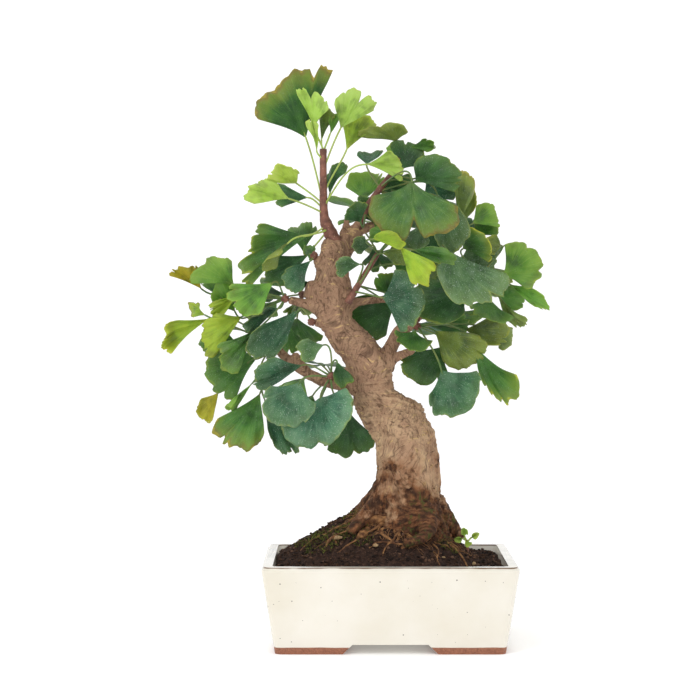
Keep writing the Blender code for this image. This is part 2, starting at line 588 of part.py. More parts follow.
def blade_point(form, s, t):
    """A point of the blade: s runs from the left corner at -1 to the right, t from stalk to edge."""
    s_in = s * (1 - SIDE_WAIST * (1 - t))
    rays = [form[side] - form["base"] for side in ("left", "middle", "right")]
    low, mid, high = (ray.length for ray in rays)
    length = mid + (high - low) / 2 * s_in + ((high + low) / 2 - mid) * s_in * s_in
    if s_in < 0:
        ray = rays[0].normalized().slerp(rays[1].normalized(), s_in + 1)
    else:
        ray = rays[1].normalized().slerp(rays[2].normalized(), s_in)
    across = rays[2] - rays[0]
    facing = across.cross(rays[1]).normalized()
    if facing.y > 0:
        facing.negate()
    lift = form["cup"] * (s * s - 0.3) * t
    return form["base"] + ray * length * t + facing * lift


def edge_share(form, s):
    """How far out the edge reaches at s, less at a cleft, at scallops and at the corners."""
    share = 1 - 0.05 * abs(s) ** 6 + SCALLOP * math.cos(9 * s)
    gap = abs(s - form["cleft_at"]) / CLEFT_WIDTH
    return share - form["cleft"] * max(0, 1 - gap)


def blade_columns(form):
    long = max((form[side] - form["base"]).length for side in ("left", "middle", "right"))
    count = SMALL_COLUMNS if long < SMALL_LEAF else COLUMNS
    columns = [-1 + 2 * column / count for column in range(count + 1)]
    if not form["cleft"]:
        return columns
    notch = [form["cleft_at"] + CLEFT_WIDTH * side for side in (-1, 0, 1)]
    kept = [s for s in columns if abs(s - form["cleft_at"]) > CLEFT_WIDTH * 1.5]
    return sorted(kept + notch)


def blade_normal(form, s, t):
    step = 0.02
    along = blade_point(form, s, t) - blade_point(form, s, t - step)
    over = blade_point(form, min(s + step, 1), t) - blade_point(form, max(s - step, -1), t)
    return over.cross(along).normalized()


def stalk_path(form):
    """Points from the root of the stalk to the base of the blade."""
    root = form["root"]
    base = form["base"]
    axis = (form["middle"] - base).normalized()
    reach = (base - root).length
    lead = base - axis * reach * 0.3
    via = form["via"] or root + (base - root) * 0.35 + Vector((0, 0, reach * 0.05))
    path = []
    for step in range(STALK_STEPS + 1):
        t = step / STALK_STEPS
        path.append(root * (1 - t) ** 3 + Vector(via) * 3 * t * (1 - t) ** 2
                    + lead * 3 * t * t * (1 - t) + base * t ** 3)
    return path


def stalk_rings(form, path):
    """Four-cornered rings from root to blade, the last turned flat with the blade."""
    across = (form["right"] - form["left"]).normalized()
    rings = []
    for place in range(len(path) - 1, -1, -1):
        ahead = path[min(place + 1, len(path) - 1)] - path[max(place - 1, 0)]
        ahead.normalize()
        across = (across - ahead * across.dot(ahead)).normalized()
        upright = across.cross(ahead)
        radius = STALK * (1.15 if place == 0 else 1)
        rings.append([path[place] + side * radius
                      for side in (-across, upright, across, -upright)])
    return rings[::-1]


def leaf_solid(name, form, group):
    """One closed shell for stalk and blade, which has the same triangles on both faces."""
    rings = stalk_rings(form, stalk_path(form))
    points = [point for ring in rings for point in ring]
    faces = [[0, 1, 2], [0, 2, 3]]
    for ring in range(len(rings) - 1):
        for side in range(4):
            first = ring * 4 + side
            second = ring * 4 + (side + 1) % 4
            faces.append([first, second, second + 4])
            faces.append([first, second + 4, first + 4])
    left, top, right, bottom = range(len(points) - 4, len(points))
    columns = blade_columns(form)
    levels = (0.55, 1) if len(columns) > SMALL_COLUMNS + 1 else (1,)
    rows = []
    for level in levels:
        for sign in (1, -1):
            row = []
            for s in columns:
                t = level * edge_share(form, s)
                row.append(len(points))
                points.append(blade_point(form, s, t) + blade_normal(form, s, t) * sign * BLADE / 2)
            rows.append(row)
    faces += fan_faces(left, top, right, rows[0])
    faces += fan_faces(left, bottom, right, rows[1])
    faces += [[left, rows[0][0], rows[1][0]], [right, rows[0][-1], rows[1][-1]]]
    faces += row_faces(rows)
    return add_mesh(name, points, faces, group)


def fan_faces(left, middle, right, row):
    faces = [[left, middle, row[0]], [middle, right, row[-1]]]
    faces += [[middle, row[place], row[place + 1]] for place in range(len(row) - 1)]
    return faces


def row_faces(rows):
    faces = []
    if len(rows) == 4:
        for face in (0, 1):
            faces += strip_faces(rows[face], rows[face + 2])
        for end in (0, -1):
            faces += strip_faces([rows[0][end], rows[1][end]], [rows[2][end], rows[3][end]])
    faces += strip_faces(rows[-2], rows[-1])
    return faces


def strip_faces(first, second):
    faces = []
    for place in range(len(first) - 1):
        faces.append([first[place], first[place + 1], second[place + 1]])
        faces.append([first[place], second[place + 1], second[place]])
    return faces


def bud_middle(limb):
    """Where a bud sits on the end of a limb, a small gap clear of it."""
    before = Vector(limb[-2][:3])
    end = Vector(limb[-1][:3])
    return end + (end - before).normalized() * (BUD + BUD_GAP)


def bud(name, middle, group):
    solid = bmesh.new()
    bmesh.ops.create_uvsphere(solid, u_segments=8, v_segments=5, radius=BUD)
    bmesh.ops.translate(solid, verts=solid.verts, vec=middle)
    return new_object(name, solid, group)


def make_shoot(name, shoot, parts, group):
    """Stem or bud, with every leaf fused to it as one body."""
    if "stem" in shoot:
        body = tube(name, shoot["stem"], parts, 1)
        start = Vector(shoot["stem"][0][:3])
    else:
        start = bud_middle(LIMBS[shoot["seat"]])
        body = bud(name, start, parts)
    for number, form in enumerate(shoot["leaves"]):
        form["root"] = Vector(form["root"] or start)
        make_helper(leaf_solid(f"{name}_leaf_{number + 1}", form, group))
    combine(body, group, "UNION")
    add_material(body, f"{name}_leaf", YOUNG_FOLIAGE if name == "apex_shoot" else FOLIAGE)


def back_leaves(seat, seed, count, stalk, blade):
    """Leaves spread round the end of a limb by the golden angle, faces turned up and outwards."""
    draw = random.Random(seed)
    start = bud_middle(LIMBS[seat])
    outward = (start - Vector(LIMBS[seat][0][:3])).normalized()
    outward.z *= 0.4
    outward.normalize()
    side = outward.cross(Vector((0, 0, 1))).normalized()
    up = side.cross(outward)
    leaves = []
    for number in range(count):
        angle = number * GOLDEN_ANGLE + seed
        open_out = math.radians(draw.uniform(25, 75))
        ray = (outward * math.cos(open_out)
               + (side * math.cos(angle) + up * math.sin(angle)) * math.sin(open_out))
        base = start + ray * stalk * draw.uniform(0.75, 1.15)
        droop = (ray + Vector((0, 0.35, -0.45))).normalized()
        over = droop.cross(Vector((0, 0.3, 1))).normalized()
        long = blade * draw.uniform(0.75, 1.1)
        wide = long * draw.uniform(0.55, 0.75)
        leaves.append({
            "base": base, "middle": base + droop * long, "root": None, "via": None,
            "left": base + droop * long * 0.62 - over * wide,
            "right": base + droop * long * 0.62 + over * wide,
            "cup": draw.uniform(2, 6), "cleft": 0.3 if number % 3 == 0 else 0.0,
            "cleft_at": draw.uniform(-0.2, 0.2),
        })
    return leaves


def make_weed(parts, group):
    stem = [(*WEED_ROOT, 58, 1.1), (*WEED_ROOT, 74, 1), (*WEED_ROOT, WEED_HEIGHT, 1)]
    body = tube("weed_seedling", stem, parts, 1)
    for number, form in enumerate(WEED_LEAVES):
        form["root"] = Vector((*WEED_ROOT, WEED_HEIGHT - 2))
        make_helper(leaf_solid(f"weed_leaf_{number + 1}", form, group))
    combine(body, group, "UNION")
    add_material(body, "weed_leaf", YOUNG_FOLIAGE)


def main():
    clear_scene()
    parts = new_collection("ginkgo_bonsai", False)
    cutters = new_collection("cutters", True)
    make_pot(parts, cutters)
    for cutter in cutters.objects:
        make_helper(cutter)
    make_soil(parts, cutters)
    make_trunk(parts, new_collection("trunk_limbs", True))
    for name, shoot in SHOOTS.items():
        make_shoot(name, shoot, parts, new_collection(f"{name}_leaves", True))
    for name, (seat, *rule) in BACK_SHOOTS.items():
        shoot = {"seat": seat, "leaves": back_leaves(seat, *rule)}
        make_shoot(name, shoot, parts, new_collection(f"{name}_leaves", True))
    make_weed(parts, new_collection("weed_leaves", True))


main()
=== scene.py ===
# Ginkgo bonsai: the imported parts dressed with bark, leaves, soil and glaze
# Places are millimetres from the middle of the pot's underside, as read from the photograph
import math
import random

import bmesh
import bpy
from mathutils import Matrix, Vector, noise


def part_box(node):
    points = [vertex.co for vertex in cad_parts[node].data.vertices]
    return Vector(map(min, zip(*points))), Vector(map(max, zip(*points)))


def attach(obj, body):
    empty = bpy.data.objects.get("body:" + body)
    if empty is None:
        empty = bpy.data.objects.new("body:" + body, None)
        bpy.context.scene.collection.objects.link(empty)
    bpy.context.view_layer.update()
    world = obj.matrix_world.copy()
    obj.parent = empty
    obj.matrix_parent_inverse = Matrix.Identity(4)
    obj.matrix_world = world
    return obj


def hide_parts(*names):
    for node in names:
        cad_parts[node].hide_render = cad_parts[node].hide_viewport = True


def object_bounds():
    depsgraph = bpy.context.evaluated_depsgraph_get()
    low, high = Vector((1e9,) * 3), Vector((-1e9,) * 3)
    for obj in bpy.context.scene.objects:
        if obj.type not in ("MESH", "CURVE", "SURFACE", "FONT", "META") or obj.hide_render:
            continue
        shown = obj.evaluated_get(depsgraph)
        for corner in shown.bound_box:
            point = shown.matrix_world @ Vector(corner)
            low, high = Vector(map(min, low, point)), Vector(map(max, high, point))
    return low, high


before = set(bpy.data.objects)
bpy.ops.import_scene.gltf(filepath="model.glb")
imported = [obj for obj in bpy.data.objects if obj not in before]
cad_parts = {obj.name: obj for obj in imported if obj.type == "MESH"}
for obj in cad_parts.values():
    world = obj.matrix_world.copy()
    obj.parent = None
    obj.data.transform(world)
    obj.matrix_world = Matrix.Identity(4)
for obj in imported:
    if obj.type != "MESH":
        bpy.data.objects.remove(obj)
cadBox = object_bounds()
print("frame loaded")

mm = 0.001
potLow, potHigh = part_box("pot")
potMiddle = Vector(((potLow[0] + potHigh[0]) / 2, (potLow[1] + potHigh[1]) / 2, 0)) / mm


# Millimetres from the pot's middle to metres in the part's frame
def toFrame(point):
    return (Vector(point) + potMiddle) * mm


def hexLinear(code):
    channels = [int(code[place:place + 2], 16) / 255 for place in (1, 3, 5)]
    return [c / 12.92 if c < 0.04045 else ((c + 0.055) / 1.055) ** 2.4 for c in channels] + [1]


# A shader node with its inputs set or linked, and the output asked for. Names in small
# letters are the node's own settings
def addNode(tree, kind, values, output=0):
    node = tree.nodes.new("ShaderNode" + kind)
    for name, value in values.items():
        if isinstance(value, str) and value.startswith("#"):
            value = hexLinear(value)
        if isinstance(name, str) and name.islower():
            setattr(node, name, value)
        elif isinstance(value, bpy.types.NodeSocket):
            tree.links.new(value, node.inputs[name])
        else:
            node.inputs[name].default_value = value
    return node.outputs[output]


def startMaterial(name, roughness, specular=0.5):
    material = bpy.data.materials.new(name)
    material.use_nodes = True
    tree = material.node_tree
    shader = tree.nodes["Principled BSDF"]
    shader.inputs["Roughness"].default_value = roughness
    shader.inputs["Specular IOR Level"].default_value = specular
    return material, tree, shader


# The scale of a pattern that comes every so many millimetres
def every(size):
    return 1 / (size * mm)


# A mask of soft patches, from 0 where the noise is at low to most where it is at high
def patches(tree, vector, size, low, high, most=1, detail=4):
    spread = addNode(tree, "TexNoise", {"Vector": vector, "Scale": every(size),
                                        "Detail": detail})
    return addNode(tree, "MapRange", {"Value": spread, "From Min": low, "From Max": high,
                                      "To Max": most})


# Lays colours over the first, each by one or more masks, and puts bumps (height, metres,
# share) under. A mask may be a pattern, its values at none and at full, and its most
def coat(tree, shader, colour, layers, bumps):
    for *masks, over in layers:
        share = None
        for mask in masks:
            if isinstance(mask, tuple):
                mask = addNode(tree, "MapRange", dict(zip(
                    ("Value", "From Min", "From Max", "To Max"), mask)))
            if share is not None:
                mask = addNode(tree, "Math", {"operation": "MULTIPLY", 0: share, 1: mask})
            share = mask
        colour = addNode(tree, "Mix", {"data_type": "RGBA", 0: share, 6: colour, 7: over}, 2)
    tree.links.new(colour, shader.inputs["Base Color"])
    values = {}
    for height, distance, share in bumps:
        values.update({"Height": height, "Distance": distance, "Strength": share})
        values["Normal"] = addNode(tree, "Bump", values)
    tree.links.new(values["Normal"], shader.inputs["Normal"])


# Puts a bmesh built in metres on the root body, in place of CAD nodes
def finishMesh(name, bm, material, nodes):
    mesh = bpy.data.meshes.new(name)
    bm.to_mesh(mesh)
    bm.free()
    piece = bpy.data.objects.new(name, mesh)
    bpy.context.scene.collection.objects.link(piece)
    mesh.materials.append(material)
    mesh.shade_smooth()
    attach(piece, "root")
    if nodes:
        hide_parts(*nodes)
    return piece


# A merged bmesh of a CAD node's solid
def cadCopy(node):
    bm = bmesh.new()
    bm.from_mesh(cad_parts[node].data)
    bmesh.ops.remove_doubles(bm, verts=bm.verts, dist=0.00001)
    return bm


# Camera and light

camera = {
    "place": (-33, -1738, 300),
    "pitchDown": 1.79,  # degrees
    "lens": 105.97,
    "sensor": 36,
    "farthest": 50,  # metres
}


def addCamera():
    data = bpy.data.cameras.new("camera")
    data.lens = camera["lens"]
    data.sensor_width = camera["sensor"]
    data.clip_end = camera["farthest"]
    piece = bpy.data.objects.new("camera", data)
    piece.location = toFrame(camera["place"])
    piece.rotation_euler = (math.radians(90 - camera["pitchDown"]), 0, 0)
    bpy.context.scene.collection.objects.link(piece)
    bpy.context.scene.camera = piece


studio = {
    "floorColour": "#ffffff",
    "worldColour": "#ffffff",
    "floorHalf": 5.2,  # metres, as are the radius that stays flat and that of the curve
    "floorCells": 64,
    "flatRadius": 2.4,
    "curve": 1.2,
    "worldStrength": 0.72,
    "floorGlow": 0.14,
    "key": ((-0.8, -1.2, 1.6), 0.9, 10.5),  # place, size in metres, watts
    "fill": ((1.3, -1.1, 0.9), 1.5, 1),
    "top": ((0.1, 0.3, 1.9), 1.2, 5),
    "lightsAimAt": (0, 0, 0.25),
}


def addLight(name, place, size, power):
    data = bpy.data.lights.new(name, "AREA")
    data.energy = power
    data.size = size
    lamp = bpy.data.objects.new(name, data)
    lamp.location = place
    aim = Vector(studio["lightsAimAt"]) - Vector(place)
    lamp.rotation_euler = aim.to_track_quat("-Z", "Y").to_euler()
    bpy.context.scene.collection.objects.link(lamp)


# A pale floor that curves up into a round wall, with soft light all round
def addStudio():
    bm = bmesh.new()
    bmesh.ops.create_grid(bm, x_segments=studio["floorCells"], y_segments=studio["floorCells"],
                          size=studio["floorHalf"])
    flat, curve = studio["flatRadius"], studio["curve"]
    for vertex in bm.verts:
        away = vertex.co.length
        over = away - flat
        if over > 0:
            angle = min(over / curve, math.pi / 2)
            vertex.co *= (flat + curve * math.sin(angle)) / away
            vertex.co.z = curve * (1 - math.cos(angle)) + max(0, over - curve * math.pi / 2)
    mesh = bpy.data.meshes.new("floor")
    bm.to_mesh(mesh)
    bm.free()
    mesh.shade_smooth()
    floor = bpy.data.objects.new("floor", mesh)
    bpy.context.scene.collection.objects.link(floor)
    material, _, shader = startMaterial("matt white paper", 0.9, 0.2)
    shader.inputs["Base Color"].default_value = hexLinear(studio["floorColour"])
    shader.inputs["Emission Color"].default_value = hexLinear(studio["floorColour"])
    shader.inputs["Emission Strength"].default_value = studio["floorGlow"]
    mesh.materials.append(material)
    world = bpy.data.worlds.new("studio")
    world.use_nodes = True
    light = world.node_tree.nodes["Background"]
    light.inputs["Color"].default_value = hexLinear(studio["worldColour"])
    light.inputs["Strength"].default_value = studio["worldStrength"]
    bpy.context.scene.world = world
    for name in ("key", "fill", "top"):
        addLight(name, *studio[name])
    bpy.context.scene.view_settings.view_transform = "Standard"


addCamera()
addStudio()
print("camera and studio ready")


# Pot: slip-cast stoneware under a cream glaze, with bare clay at the feet

pot = {
    "glaze": "#ebe6db",
    "glazeShade": "#e1dac9",
    "speck": "#4a3a2c",
    "rimLine": "#6d5138",
    "pool": "#a9b1ae",
    "clay": "#a4694c",
    "clayDark": "#7c4a34",
    "clayHeight": 5.6,  # mm of bare clay above the table
    "rimLineFrom": 71.3,  # mm above the table, up to the rim's top
    "rimTop": 72,
    "ripple": 1.2,  # mm by which the glaze's edges wander
    "edgeRadius": 1,
    "flatWithin": math.radians(1.5),  # faces that differ by less are made one
    "bevelFrom": math.radians(28),
    "smoothWithin": math.radians(40),
}


# Cream ash glaze: glossy, with iron specks, brown where it runs thin over the rim's edge
def glazeMaterial():
    material, tree, shader = startMaterial("cream glaze on stoneware", 0.18)
    shader.inputs["IOR"].default_value = 1.52
    shader.inputs["Coat Weight"].default_value = 0.4
    shader.inputs["Coat Roughness"].default_value = 0.08
    place = addNode(tree, "TexCoord", {}, "Object")
    facing = addNode(tree, "SeparateXYZ", {"Vector": addNode(tree, "TexCoord", {}, "Normal")}, 2)
    height = addNode(tree, "SeparateXYZ", {"Vector": place}, 2)
    # specks under a millimetre across, about 6 mm apart
    cells = {"Vector": place, "Scale": every(4.76)}
    chance = addNode(tree, "SeparateColor", {"Color": addNode(tree, "TexVoronoi", cells, "Color")})
    size = addNode(tree, "MapRange", {"Value": chance, "From Min": 0.45, "To Max": 0.13})
    specks = addNode(tree, "Math", {"operation": "LESS_THAN", 0: addNode(tree, "TexVoronoi", cells),
                                    1: size})
    # the height with the ripple, for the rim's line and the clay's edge
    ripple = addNode(tree, "TexNoise", {"Vector": place, "Scale": every(16.67), "Detail": 3})
    level = addNode(tree, "Math", {"operation": "MULTIPLY_ADD", 0: ripple,
                                   1: pot["ripple"] * mm, 2: height})
    line = (level, pot["rimLineFrom"] * mm, pot["rimTop"] * mm)
    clayTop = (pot["clayHeight"] + 0.7) * mm  # the ripple lifts the level by some 0.7 mm
    bare = addNode(tree, "MapRange", {"Value": level, "From Min": clayTop + 0.0002,
                                      "From Max": clayTop - 0.0002})
    grain = patches(tree, place, 1.11, 0.35, 0.7, detail=3)
    clay = addNode(tree, "Mix", {"data_type": "RGBA", 0: grain, 6: pot["clay"],
                                 7: pot["clayDark"]}, 2)
    coat(tree, shader, pot["glaze"], [
        (patches(tree, place, 55.56, 0.4, 0.75), pot["glazeShade"]),
        ((facing, 0.8, 0.95), patches(tree, place, 33.33, 0.45, 0.7, 0.7), pot["pool"]),
        (specks, 0.8, pot["speck"]),
        (line, (facing, 0.97, 0.75), patches(tree, place, 28.57, 0.25, 0.5), pot["rimLine"]),
        (bare, clay),
    ], [(ripple, 0.0009, 0.3), (grain, 0.0001, 0.2)])
    rough = addNode(tree, "MapRange", {"Value": bare, "To Min": 0.18, "To Max": 0.8})
    tree.links.new(rough, shader.inputs["Roughness"])
    return material


def makePot():
    bm = cadCopy("pot")
    # faces that ring the opening stay in triangles, because one face can't have a hole
    upright = [edge for edge in bm.edges
               if all(abs(face.normal.z) < 0.9 for face in edge.link_faces)]
    bmesh.ops.dissolve_limit(bm, angle_limit=pot["flatWithin"], verts=[], edges=upright)
    sharp = [edge for edge in bm.edges
             if edge.is_manifold and edge.calc_face_angle() > pot["bevelFrom"]]
    bmesh.ops.bevel(bm, geom=sharp, offset=pot["edgeRadius"] * mm, offset_type="OFFSET",
                    segments=3, profile=0.5, affect="EDGES", material=-1, clamp_overlap=True)
    piece = finishMesh("glazedPot", bm, glazeMaterial(), ["pot"])
    piece.data.set_sharp_from_angle(angle=pot["smoothWithin"])


makePot()
print("pot ready")


# Soil: a heap of dark potting mix with crumbs, moss and surface roots

soil = {
    "edgeHeight": 67,
    "heapMiddle": (-4, 6),
    "heapHeight": 53,
    "heapReach": (96, 82),
    "rightShare": 0.86,  # the heap is steeper on the right
    "swell": 1.2,
    # clods, crumbs and fines: how many to a mm, seed and height
    "lumps": ((0.12, 3, 1.9), (0.45, 9, 1.3), (1.1, 5, 0.5)),
    "halfSize": (95.2, 70.4),
    "corner": 5,
    "bottom": 17,
    "bottomShare": 0.9,
    "cells": (170, 124),
    "crumbs": 4200,
    "crumbSizes": (0.5, 0.6, 0.8, 1, 1.3, 1.7),
    "crumbColours": ("#221814", "#221814", "#422f26", "#422f26", "#3d2b20", "#4a3526",
                     "#6b5040"),
    "trunkAt": 15,  # x of the trunk's foot, and the radius that stays free of crumbs
    "trunkRadius": 24,
    "stones": ((-43, -34, 3.4), (-12, -52, 2.2), (70, -30, 2.4), (44, -48, 1.9)),  # x, y, size
    "dark": "#221814",
    "mid": "#422f26",
    "light": "#6b5040",
    "stone": "#a88c68",
}


def soilHeight(x, y):
    reach = soil["heapReach"][0] * (1 if x < soil["heapMiddle"][0] else soil["rightShare"])
    away = math.hypot((x - soil["heapMiddle"][0]) / reach,
                      (y - soil["heapMiddle"][1]) / soil["heapReach"][1])
    heap = soil["heapHeight"] * max(0, 1 - away) ** 0.9
    swell = soil["swell"] * math.sin(x * 0.13 + 1) * math.sin(y * 0.17)
    return soil["edgeHeight"] + heap + swell


# Clods of about 8 mm with crumbs of 2 mm on them
def crumbLift(x, y):
    return sum(noise.noise(Vector((x * grain, y * grain, seed))) * height
               for grain, seed, height in soil["lumps"])


# A point of the square grid drawn in where the pot's corners are round
def roundCorner(x, y):
    straightX, straightY = (half - soil["corner"] for half in soil["halfSize"])
    overX, overY = abs(x) - straightX, abs(y) - straightY
    if overX <= 0 or overY <= 0:
        return x, y
    share = max(overX, overY) / math.hypot(overX, overY)
    return (math.copysign(straightX + overX * share, x),
            math.copysign(straightY + overY * share, y))


# Peat and bark fines: matt, nearly black when damp, with lighter fibres
def soilMaterial():
    material, tree, shader = startMaterial("damp potting mix", 0.95, 0.2)
    place = addNode(tree, "TexCoord", {}, "Object")
    fine = addNode(tree, "TexNoise", {"Vector": place, "Scale": every(1.43), "Detail": 5})
    coat(tree, shader, soil["dark"], [
        (patches(tree, place, 3.85, 0.35, 0.68), soil["mid"]),
        (patches(tree, place, 1.61, 0.62, 0.72), soil["light"]),
    ], [(fine, 0.0012, 0.9)])
    return material


# Loose bark chips, grit, crumbs and moss, each with its own colour
def crumbMaterial():
    material, tree, shader = startMaterial("bark crumbs, grit and moss", 0.9, 0.2)
    place = addNode(tree, "TexCoord", {}, "Object")
    tint = addNode(tree, "Attribute", {"attribute_name": "tint"})
    fine = addNode(tree, "TexNoise", {"Vector": place, "Scale": every(0.833), "Detail": 3})
    coat(tree, shader, tint, [(patches(tree, place, 1.11, 0.45, 0.7, 0.5), soil["dark"])],
         [(fine, 0.0005, 0.6)])
    return material


# One crumb: a low ball pushed out of round
def addLump(bm, tintLayer, middle, size, colour, draw):
    made = bmesh.ops.create_icosphere(bm, subdivisions=1, radius=size * mm)
    squash = Vector((draw.uniform(0.7, 1.4), draw.uniform(0.7, 1.3), draw.uniform(0.55, 0.9)))
    turn = draw.uniform(0, math.tau)
    for vertex in made["verts"]:
        shift = vertex.co * draw.uniform(0.6, 1.3)
        x = shift.x * squash.x
        y = shift.y * squash.y
        vertex.co = toFrame(middle) + Vector((x * math.cos(turn) - y * math.sin(turn),
                                              x * math.sin(turn) + y * math.cos(turn),
                                              shift.z * squash.z))
        vertex[tintLayer] = colour


# One bmesh of many small shapes, made a few at a time, since adding to a large mesh is slow
def inBatches(jobs, addShape, size=200):
    whole = bmesh.new()
    whole.verts.layers.float_color.new("tint")
    for first in range(0, len(jobs), size):
        part = bmesh.new()
        tintLayer = part.verts.layers.float_color.new("tint")
        for job in jobs[first:first + size]:
            addShape(part, tintLayer, *job)
        batch = bpy.data.meshes.new("batch")
        part.to_mesh(batch)
        part.free()
        whole.from_mesh(batch)
        bpy.data.meshes.remove(batch)
    return whole


def makeSoil():
    bm = bmesh.new()
    bmesh.ops.create_grid(bm, x_segments=soil["cells"][0], y_segments=soil["cells"][1], size=1)
    below = bmesh.ops.extrude_face_region(bm, geom=bm.faces[:], use_keep_orig=True)
    below = {item for item in below["geom"] if isinstance(item, bmesh.types.BMVert)}
    for vertex in bm.verts:
        x, y = roundCorner(vertex.co.x * soil["halfSize"][0], vertex.co.y * soil["halfSize"][1])
        if vertex in below:
            vertex.co = toFrame((x * soil["bottomShare"], y * soil["bottomShare"],
                                 soil["bottom"]))
            continue
        # the soil sinks a little where it meets the pot
        inside = min(soil["halfSize"][0] - abs(x), soil["halfSize"][1] - abs(y))
        lift = crumbLift(x, y) * min(1, 0.35 + inside / 10)
        vertex.co = toFrame((x, y, soilHeight(x, y) + lift - 1.2 * max(0, 1 - inside / 6)))
    bmesh.ops.recalc_face_normals(bm, faces=bm.faces)
    finishMesh("pottingMix", bm, soilMaterial(), ["soil"])


def makeCrumbs():
    draw = random.Random(21)
    lumps = []
    colours = [hexLinear(code) for code in soil["crumbColours"]]
    for _ in range(soil["crumbs"]):
        x = draw.uniform(-1, 1) * (soil["halfSize"][0] - 3)
        y = draw.uniform(-1, 1) * (soil["halfSize"][1] - 3)
        if math.hypot(x - soil["trunkAt"], y) < soil["trunkRadius"]:
            continue
        size = draw.choice(soil["crumbSizes"])
        middle = (x, y, soilHeight(x, y) + crumbLift(x, y) + size * 0.2)
        lumps.append((middle, size, draw.choice(colours), draw))
    for x, y, size in soil["stones"]:
        lumps.append(((x, y, soilHeight(x, y) + 2.2), size, hexLinear(soil["stone"]), draw))
    finishMesh("soilCrumbs", inBatches(lumps, addLump), crumbMaterial(), [])


moss = {
    "colours": ("#697231", "#4f5a25", "#82883e", "#434a20", "#5a4629"),
    # x and y of the middle, radius and number of tufts
    "patches": ((-52, -24, 19, 420), (-30, -22, 14, 300), (-22, -40, 10, 70), (49, -26, 9, 110),
                (-66, -6, 14, 160), (-28, 4, 12, 160), (60, 20, 12, 60), (-20, 44, 16, 90)),
    "leavesInTuft": 5,
    "leafLength": 2.4,
    "leafWidth": 0.36,
}


# Short pointed moss leaves from one foot
def addTuft(bm, tintLayer, foot, colour, draw):
    for _ in range(moss["leavesInTuft"]):
        lean = Vector((draw.uniform(-1, 1), draw.uniform(-1, 1), draw.uniform(0.6, 1.6)))
        lean = lean.normalized() * moss["leafLength"] * draw.uniform(0.6, 1.2)
        side = lean.cross(Vector((0, 0, 1))).normalized() * moss["leafWidth"]
        made = bmesh.ops.create_cone(bm, segments=3, radius1=1, radius2=0.1, depth=1,
                                     cap_ends=True)
        for vertex in made["verts"]:
            up = vertex.co.z + 0.5
            thick = Vector((0, vertex.co.y * moss["leafWidth"], 0))
            vertex.co = toFrame(foot + lean * up + side * vertex.co.x + thick)
            vertex[tintLayer] = colour


# Cushions of moss, in round patches with soft edges
def makeMoss():
    draw = random.Random(8)
    colours = [hexLinear(code) for code in moss["colours"]]
    tufts = []
    for middleX, middleY, radius, count in moss["patches"]:
        for _ in range(count):
            angle = draw.uniform(0, math.tau)
            away = radius * math.sqrt(draw.random())
            x = middleX + away * math.cos(angle)
            y = middleY + away * math.sin(angle)
            foot = Vector((x, y, soilHeight(x, y) + crumbLift(x, y) - 0.4))
            tufts.append((foot, draw.choice(colours), draw))
    finishMesh("mossCushions", inBatches(tufts, addTuft), crumbMaterial(), [])


makeSoil()
makeCrumbs()
makeMoss()
print("soil and moss ready")


# Trunk: the grown body from the frame, remeshed and given its bark

trunk = {
    "voxel": 1.15,
    "path": [(15, 0, 60, 38), (15, 0, 100, 31), (16, 0, 140, 25), (16, -1, 155, 24),
             (14, -1, 170, 23), (8, 0, 184, 22.5), (-5, 1, 194, 19.5), (-12, 2, 205, 17),
             (-14, 2, 218, 16), (-17, 2, 232, 17.5), (-25, 0, 245, 15.5), (-37, -1, 257, 13),
             (-44, -1, 268, 12.5), (-47, 0, 281, 15), (-48, 0, 295, 15.5), (-48, 0, 310, 12.3),
             (-48, 0, 325, 10), (-47, 0, 338, 7.5)],
    "fibres": ((3.2, 0.035, 0, 2), (8, 0.05, 3, 5)),  # to a radian, to a mm up, layer, seed
    # across the trunk, plates, loose flakes and scales: to a mm across, to a mm up, seed
    "ridges": ((0.1, 0.26, 7), (0.16, 0.11, 19), (0.13, 0.07, 11), (0.34, 0.2, 23)),
    "flakyBelow": 150,
    "waistHeight": 207,
    "smoothings": 6,
    "bark": "#b08d70",
    "barkLight": "#d6b690",
    "barkPink": "#98765f",
    "crevice": "#38231a",
    "barkDamp": "#8f6546",
    "baseFlake": "#3d281c",
    "baseLight": "#8c5d3d",
    "fleck": "#d3b27c",
    "moss": "#4d5426",
}


# How far a point lies outside the trunk's round form, and the height of the nearest point
# of the trunk's middle, both in mm
def nearTrunk(point):
    best = (1e9, 0)
    for first, second in zip(trunk["path"], trunk["path"][1:]):
        start = Vector(first[:3])
        along = Vector(second[:3]) - start
        share = max(0, min(1, (point - start).dot(along) / along.length_squared))
        radius = first[3] + (second[3] - first[3]) * share
        away = (point - start - along * share).length - radius
        best = min(best, (away, start.z + along.z * share))
    return best


# From 1 on sharp ridges to -1 between them
def ridged(point, seed):
    return 1 - 2 * abs(noise.noise(point + Vector((seed, seed * 1.7, seed * 0.6))))


